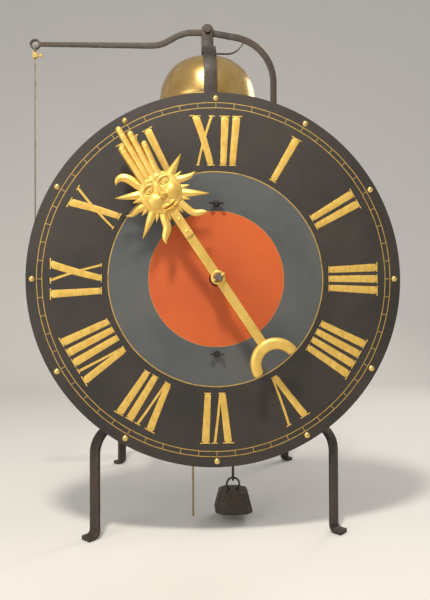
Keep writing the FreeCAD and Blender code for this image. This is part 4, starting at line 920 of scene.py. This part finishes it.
leverSizes = Settings(
    path=dict(corners=[(-0.6835, 1.8247), (-0.195, 1.8305), (-0.097, 1.8885), (0.020, 1.8885),
            (0.276, 1.8475), (0.276, 1.507)],
        bends=[0.150, 0.150, 0.150, 0.185], step=0.006),
    at=(-0.701, -0.195, -0.097, 0.020, 0.276), halves=(0.009, 0.0125, 0.0125, 0.0135, 0.0135),
    halfThick=0.004, corner=0.0018, middle=0.0115, wave=0.0003, pivot=1.8935, boss=0.024, bore=0.00905,
    bossEdge=0.001, eyeAt=(-0.701, 1.8245), eye=0.022, eyeHole=0.013, eyeEdge=0.0012,
    ringRub=(0.2, 0.6, 0.6, 1, 1, 0.6, 0.6, 0.2))


# A flat ring: an edge-rounded section turned round an axis along the depth
def flatRing(inner, outer, half, edge, centre):
    profile = [(inner, -half + edge), (inner + edge, -half), (outer - edge, -half), (outer, -half + edge),
               (outer, half - edge), (outer - edge, half), (inner + edge, half), (inner, half - edge)]
    # the ring's edges carry wear, and also a painted highlight
    wearAndHighlight = np.array(leverSizes.ringRub)[:, None]
    return {**turnedPiece(profile, 56, facing, centre), "wrapRows": True, "wearAndHighlight": wearAndHighlight}


def makeHammerLever():
    sizes = leverSizes
    thick, middle = sizes.halfThick, sizes.middle
    path = bentPath(**sizes.path)
    half = np.interp(path[0][:, 0], sizes.at, sizes.halves)
    lever = forgedStrap(path, facing, (0, middle, 0), 41, half, thick, sizes.corner, sizes.wave)
    boss = flatRing(sizes.bore, sizes.boss, thick, sizes.bossEdge, (0, middle, sizes.pivot))
    eyeX, eyeZ = sizes.eyeAt
    eye = flatRing(sizes.eyeHole, sizes.eye, thick, sizes.eyeEdge, (eyeX, middle, eyeZ))
    makeForged("hammer_lever", [lever, boss, eye], "hammer")


springSizes = Settings(
    path=dict(corners=[(0.025, 1.798), (0.115, 1.798), (0.152, 1.848)], bends=[0.070], step=0.004),
    bar=dict(halfThick=0.0015, halfWide=0.006, corner=0.0005, wave=0.00004))


def makeCheckSpring():
    sizes = springSizes
    strip = forgedStrap(bentPath(**sizes.path), facing, (0, 0, 0), 51, **sizes.bar)
    makeForged("check_spring", [strip], "frame")


bellSizes = Settings(
    centre=1.569, radius=0.196, wall=0.008, hole=0.008, mouth=1.535, lip=0.202, shoulder=0.8, flare=1.8,
    beads=(0.012, 0.020), beadTall=0.0009, beadHalf=0.0013, skirtEnd=0.96,
    lipOuter=[(-0.0012, 0.0004), (-0.003, 0)], lipInner=[(0.002, 0), (0, 0.002)])


# The bell: a full-shouldered dome, cosine and sine of the angle each to the shoulder's power, going over
# into a flared skirt, round the lip and up the inside, turned about the upright axis
def makeBell():
    sizes = bellSizes
    radius, inner, lipR, mouth = sizes.radius, sizes.radius - sizes.wall, sizes.lip, sizes.mouth

    def dome(reach):
        start = math.asin((sizes.hole / reach) ** (1 / sizes.shoulder))
        tilt = np.linspace(start, quarterTurn, 56)
        out, up = np.sin(tilt) ** sizes.shoulder, np.clip(np.cos(tilt), 0, 1) ** sizes.shoulder
        return np.stack([reach * out, sizes.centre + reach * up], 1)

    fall = np.linspace(0, 1, 26)[1:]
    drop = (sizes.centre - mouth) * fall
    bead = sum(hill(drop - at, sizes.beadHalf) for at in sizes.beads) - 1
    flare = radius + (lipR - radius) * fall ** sizes.flare + sizes.beadTall * bead
    skirt = np.stack([flare, sizes.centre - drop * sizes.skirtEnd], 1)
    lip = np.concatenate([np.add((lipR, mouth), sizes.lipOuter), np.add((inner, mouth), sizes.lipInner)])
    profile = np.concatenate([dome(radius), skirt, lip, dome(inner)[::-1]])
    bell = {**turnedPiece(profile, 120, standing, (0, 0, 0)), "wrapRows": True}
    makePiece("bell_cast", [bell], bronze, "frame", ["bell"], 40)


weightSizes = Settings(
    x=0.0715, y=-0.300, bottom=0.030, top=0.100, lowHalf=0.068, topHalf=0.051, cut=0.024, sharp=44,
    rough=0.0011, ringZ=0.118, ring=0.0225, wire=0.0035, lowRise=[0, 0, 0, 0.015, 0.04],
    topRise=[0.965, 0.987, 1, 1, 1], lowInset=[1, 0.06, 0.028, 0.008, 0.001],
    topInset=[0.002, 0.010, 0.03, 0.07, 1], flats=(0.07, 0.93), dentLow=1.4, sideInset=0.05,
    edgeInset=0.001, edgeRub=0.5, capInset=0.2, cornerFrom=0.6, cornerRub=1.5)


# The counterweight: a square with cut corners as a soft minimum of the distances to its eight sides, tapering
# upwards, edges rounded and sides uneven as cast; a wire ring stands in its top
def makeCounterweight():
    sizes = weightSizes
    turn = roundAngles(192)
    cos, sin, sharp = np.cos(turn), np.sin(turn), sizes.sharp
    rise = np.concatenate([sizes.lowRise, np.linspace(*sizes.flats, 26), sizes.topRise])[:, None]
    inset = np.concatenate([sizes.lowInset, np.zeros(26), sizes.topInset])[:, None]
    half = sizes.lowHalf + (sizes.topHalf - sizes.lowHalf) * rise
    side = np.maximum(np.abs(cos), np.abs(sin)) / half
    slant = (np.abs(cos) + np.abs(sin)) / (2 * half - sizes.cut)
    uneven = handWork(rise * 0.5, turn, 61) + handWork(rise * 1.1, turn * 2, 62) - sizes.dentLow
    onSide = inset < sizes.sideInset
    reach = (side ** sharp + slant ** sharp) ** (-1 / sharp) + sizes.rough * uneven * onSide
    reach = reach * (1 - inset)
    height = sizes.bottom + (sizes.top - sizes.bottom) * rise + 0 * turn
    # the corners and the top and bottom edges carry wear, and also a painted highlight
    wearAndHighlight = np.clip(np.cos(turn * 8) - sizes.cornerFrom, 0, 1) * sizes.cornerRub * (inset < sizes.capInset)
    wearAndHighlight = wearAndHighlight + sizes.edgeRub * (inset > sizes.edgeInset) * onSide
    lump = {"grid": np.stack([sizes.x + reach * cos, sizes.y + reach * sin, height], -1), "wearAndHighlight": wearAndHighlight}
    wire = roundAngles(16)
    section = np.stack([sizes.ring + sizes.wire * np.cos(wire), sizes.wire * np.sin(wire)], 1)
    ring = turnedPiece(section, 64, facing, (sizes.x, sizes.y, sizes.ringZ))
    makePiece("counterweight_cast", [lump, {**ring, "wrapRows": True, "wearAndHighlight": 0.4}], ironWearAndHighlight, "weight",
              ["counterweight"], 60)


makeLegs()
makeBellStraps()
makeHammerLever()
makeCheckSpring()
makeBell()
makeCounterweight()
print("iron and bell shaped")


# Ropes: three strands laid round a smooth line through the route's points
ropeSizes = Settings(
    radius=0.0045, lay=0.034, y=-0.300, wheel=0.672, driveParts=180, hangParts=100,
    drive=[(-0.0715, 0.008), (-0.0715, 0.6424), (-0.0715, 0.7016), (-0.0296, 0.7435),
        (0.0296, 0.7435), (0.0715, 0.7016), (0.0715, 0.672)],
    hang=[(0.0715, 0.672), (0.0715, 0.430), (0.0715, 0.1907)], lift=0.2, hangTwist=1.0,
    whipping=(0.008, 0.034), whippingTurns=14, whippingFibres=(6.28, 40), twine=0.0002)


def smoothLine(name, route, parts):
    curve = bpy.data.curves.new(name, "CURVE")
    curve.dimensions = "3D"
    spline = curve.splines.new("NURBS")
    spline.points.add(len(route) - 1)
    corners = [(x, ropeSizes.y, z, 1) for x, z in route]
    spline.points.foreach_set("co", np.array(corners, np.float32).ravel())
    spline.order_u = 3
    spline.use_endpoint_u = True
    spline.resolution_u = parts
    holder = bpy.data.objects.new(name, curve)
    mesh = bpy.data.meshes.new_from_object(holder)
    line = np.empty(len(mesh.vertices) * 3, np.float32)
    mesh.vertices.foreach_get("co", line)
    bpy.data.objects.remove(holder)
    bpy.data.meshes.remove(mesh)
    return line.reshape(-1, 3).astype(float)


# Each strand: a circle carried along a helix round the line; the helix turns once in each lay
def ropeStrands(line, twistStart):
    sizes = ropeSizes
    along = gone(line)
    way = np.gradient(line, axis=0)
    way /= np.linalg.norm(way, axis=1)[:, None]
    depth = np.broadcast_to(np.array([0.0, 1, 0]), way.shape)
    side = np.cross(depth, way)
    strand = sizes.radius / (1 + 2 / math.sqrt(3))  # three touching circles inside the rope's own
    size = (strand * shutEnds(len(along)))[:, None]
    around = roundAngles(12)
    out = (sizes.radius - strand + size * np.cos(around))[..., None]
    over = (size * np.sin(around))[..., None]
    patches = []
    for index in range(3):
        twist = (twistStart + along / sizes.lay * fullTurn + index * fullTurn / 3)[:, None]
        outWay = np.cos(twist) * side + np.sin(twist) * depth
        overWay = np.cos(twist) * depth - np.sin(twist) * side
        grid = line[:, None] + out * outWay[:, None] + over * overWay[:, None]
        patches.append({"grid": grid, "fibre": along[:, None], "strand": around + index * 3})
    return patches, float(along[-1])


# Whipping round a cut end: turns of twine, a thin ring wave along a short sleeve
def whipping():
    sizes = ropeSizes
    low, high = sizes.whipping
    share = np.linspace(0, 1, sizes.whippingTurns * 8 + 1)
    wave = np.abs(np.sin(share * sizes.whippingTurns * math.pi)) - 1
    radius = np.concatenate([[0], sizes.radius + sizes.twine * wave, [0]])
    height = np.concatenate([[low], low + (high - low) * share, [high]])
    sleeve = turnedPiece(np.stack([radius, height], 1), 20, standing, (sizes.drive[0][0], sizes.y, 0))
    rows, cols = sleeve["grid"].shape[:2]
    along, around = sizes.whippingFibres
    return {**sleeve, "fibre": np.linspace(0, along, cols), "strand": np.linspace(0, around, rows)[:, None]}


def makeRopes():
    sizes = ropeSizes
    line = smoothLine("drive_line", sizes.drive, sizes.driveParts)
    patches, length = ropeStrands(line, 0)
    patches.append(whipping())
    drive = makePiece("drive_rope_laid", patches, plain["hemp"], "frame", ["drive_rope"])
    line = smoothLine("weight_line", sizes.hang, sizes.hangParts)
    patches, length = ropeStrands(line, sizes.hangTwist)
    hang = makePiece("weight_rope_laid", patches, plain["hemp"], "frame", ["weight_rope"])
    1 - sizes.lift / length
    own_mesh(hang)


makeRopes()
print("ropes laid")


# Stage: pale floor, soft light from the front and above, camera where the picture was taken from
stageLook = Settings(
    floor=(0.74, 0.72, 0.69), floorShade=0.96, bendAt=3.2, bend=0.42, under=0.0005, world=0.52,
    worldColour=(1.0, 0.98, 0.95, 1), eye=(-0.121, -2.389, 0.7435), way=(0.0622, 0.9979, 0.0155),
    roll=-0.2, lens=35.0, sensor=36, near=0.05)
lampLooks = {
    "key": Settings(
        spot=(-0.55, -2.35, 3.75), aim=(0, -0.4, 0.85), size=0.5, power=120, colour=(1.0, 0.93, 0.82)),
    "fill": Settings(
        spot=(-2.6, -2.8, 1.6), aim=(0, -0.2, 0.8), size=2.2, power=36, colour=(1.0, 0.97, 0.93)),
    "rim": Settings(spot=(2.6, 2.2, 3.0), aim=(0, 0, 1.0), size=1.6, power=45, colour=(1.0, 0.96, 0.9))}


def link(name, data):
    item = bpy.data.objects.new(name, data)
    bpy.context.scene.collection.objects.link(item)
    return item


def pointing(way):  # a turn that looks along the way
    return Vector(way).to_track_quat("-Z", "Y")


# The floor: a flat sheet that curves up far behind, by the square of the distance past a line
def makeFloor():
    look = stageLook
    u, v = np.meshgrid(np.linspace(-7, 7, 57), np.linspace(-6, 7, 66), indexing="ij")
    rise = np.clip(v - look.bendAt, 0, None) ** 2 * look.bend
    grid = np.stack([u, v, rise - look.under], -1)
    faces = gridFaces(*grid.shape[:2], False, False)[:, ::-1]
    mesh = bpy.data.meshes.new("floor")
    mesh.from_pydata(grid.reshape(-1, 3).tolist(), [], faces.tolist())
    mesh.polygons.foreach_set("use_smooth", np.ones(len(mesh.polygons), bool))
    f = Finish("pale_floor")
    shade = tuple(look.floorShade * part for part in look.floor)
    colour = f.blend(f.noise(1.3, 4, 0.5), look.floor, shade)
    mesh.materials.append(f.done(color=colour, rough=0.8, metal=0.0))
    link("floor", mesh)


def makeLight():
    for name, look in lampLooks.items():
        lamp = bpy.data.lights.new(name, "AREA")
        lamp.shape = "DISK"
        lamp.size = look.size
        lamp.energy = look.power
        lamp.color = look.colour
        holder = link(name, lamp)
        holder.location = look.spot
        holder.rotation_euler = pointing(Vector(look.aim) - Vector(look.spot)).to_euler()
    world = bpy.data.worlds.new("studio")
    world.use_nodes = True
    back = next(node for node in world.node_tree.nodes if node.type == "BACKGROUND")
    back.inputs["Color"].default_value = stageLook.worldColour
    back.inputs["Strength"].default_value = stageLook.world
    bpy.context.scene.world = world


def makeCamera():
    look = stageLook
    lens = bpy.data.cameras.new("camera")
    lens.lens = look.lens
    lens.sensor_width = look.sensor
    lens.clip_start = look.near
    camera = link("camera", lens)
    roll = Matrix.Rotation(math.radians(look.roll), 3, "Z")
    camera.matrix_world = Matrix.Translation(look.eye) @ (pointing(look.way).to_matrix() @ roll).to_4x4()
    bpy.context.scene.camera = camera


makeFloor()
makeLight()
makeCamera()
bpy.context.scene.view_settings.view_transform = "Standard"
print("stage ready")
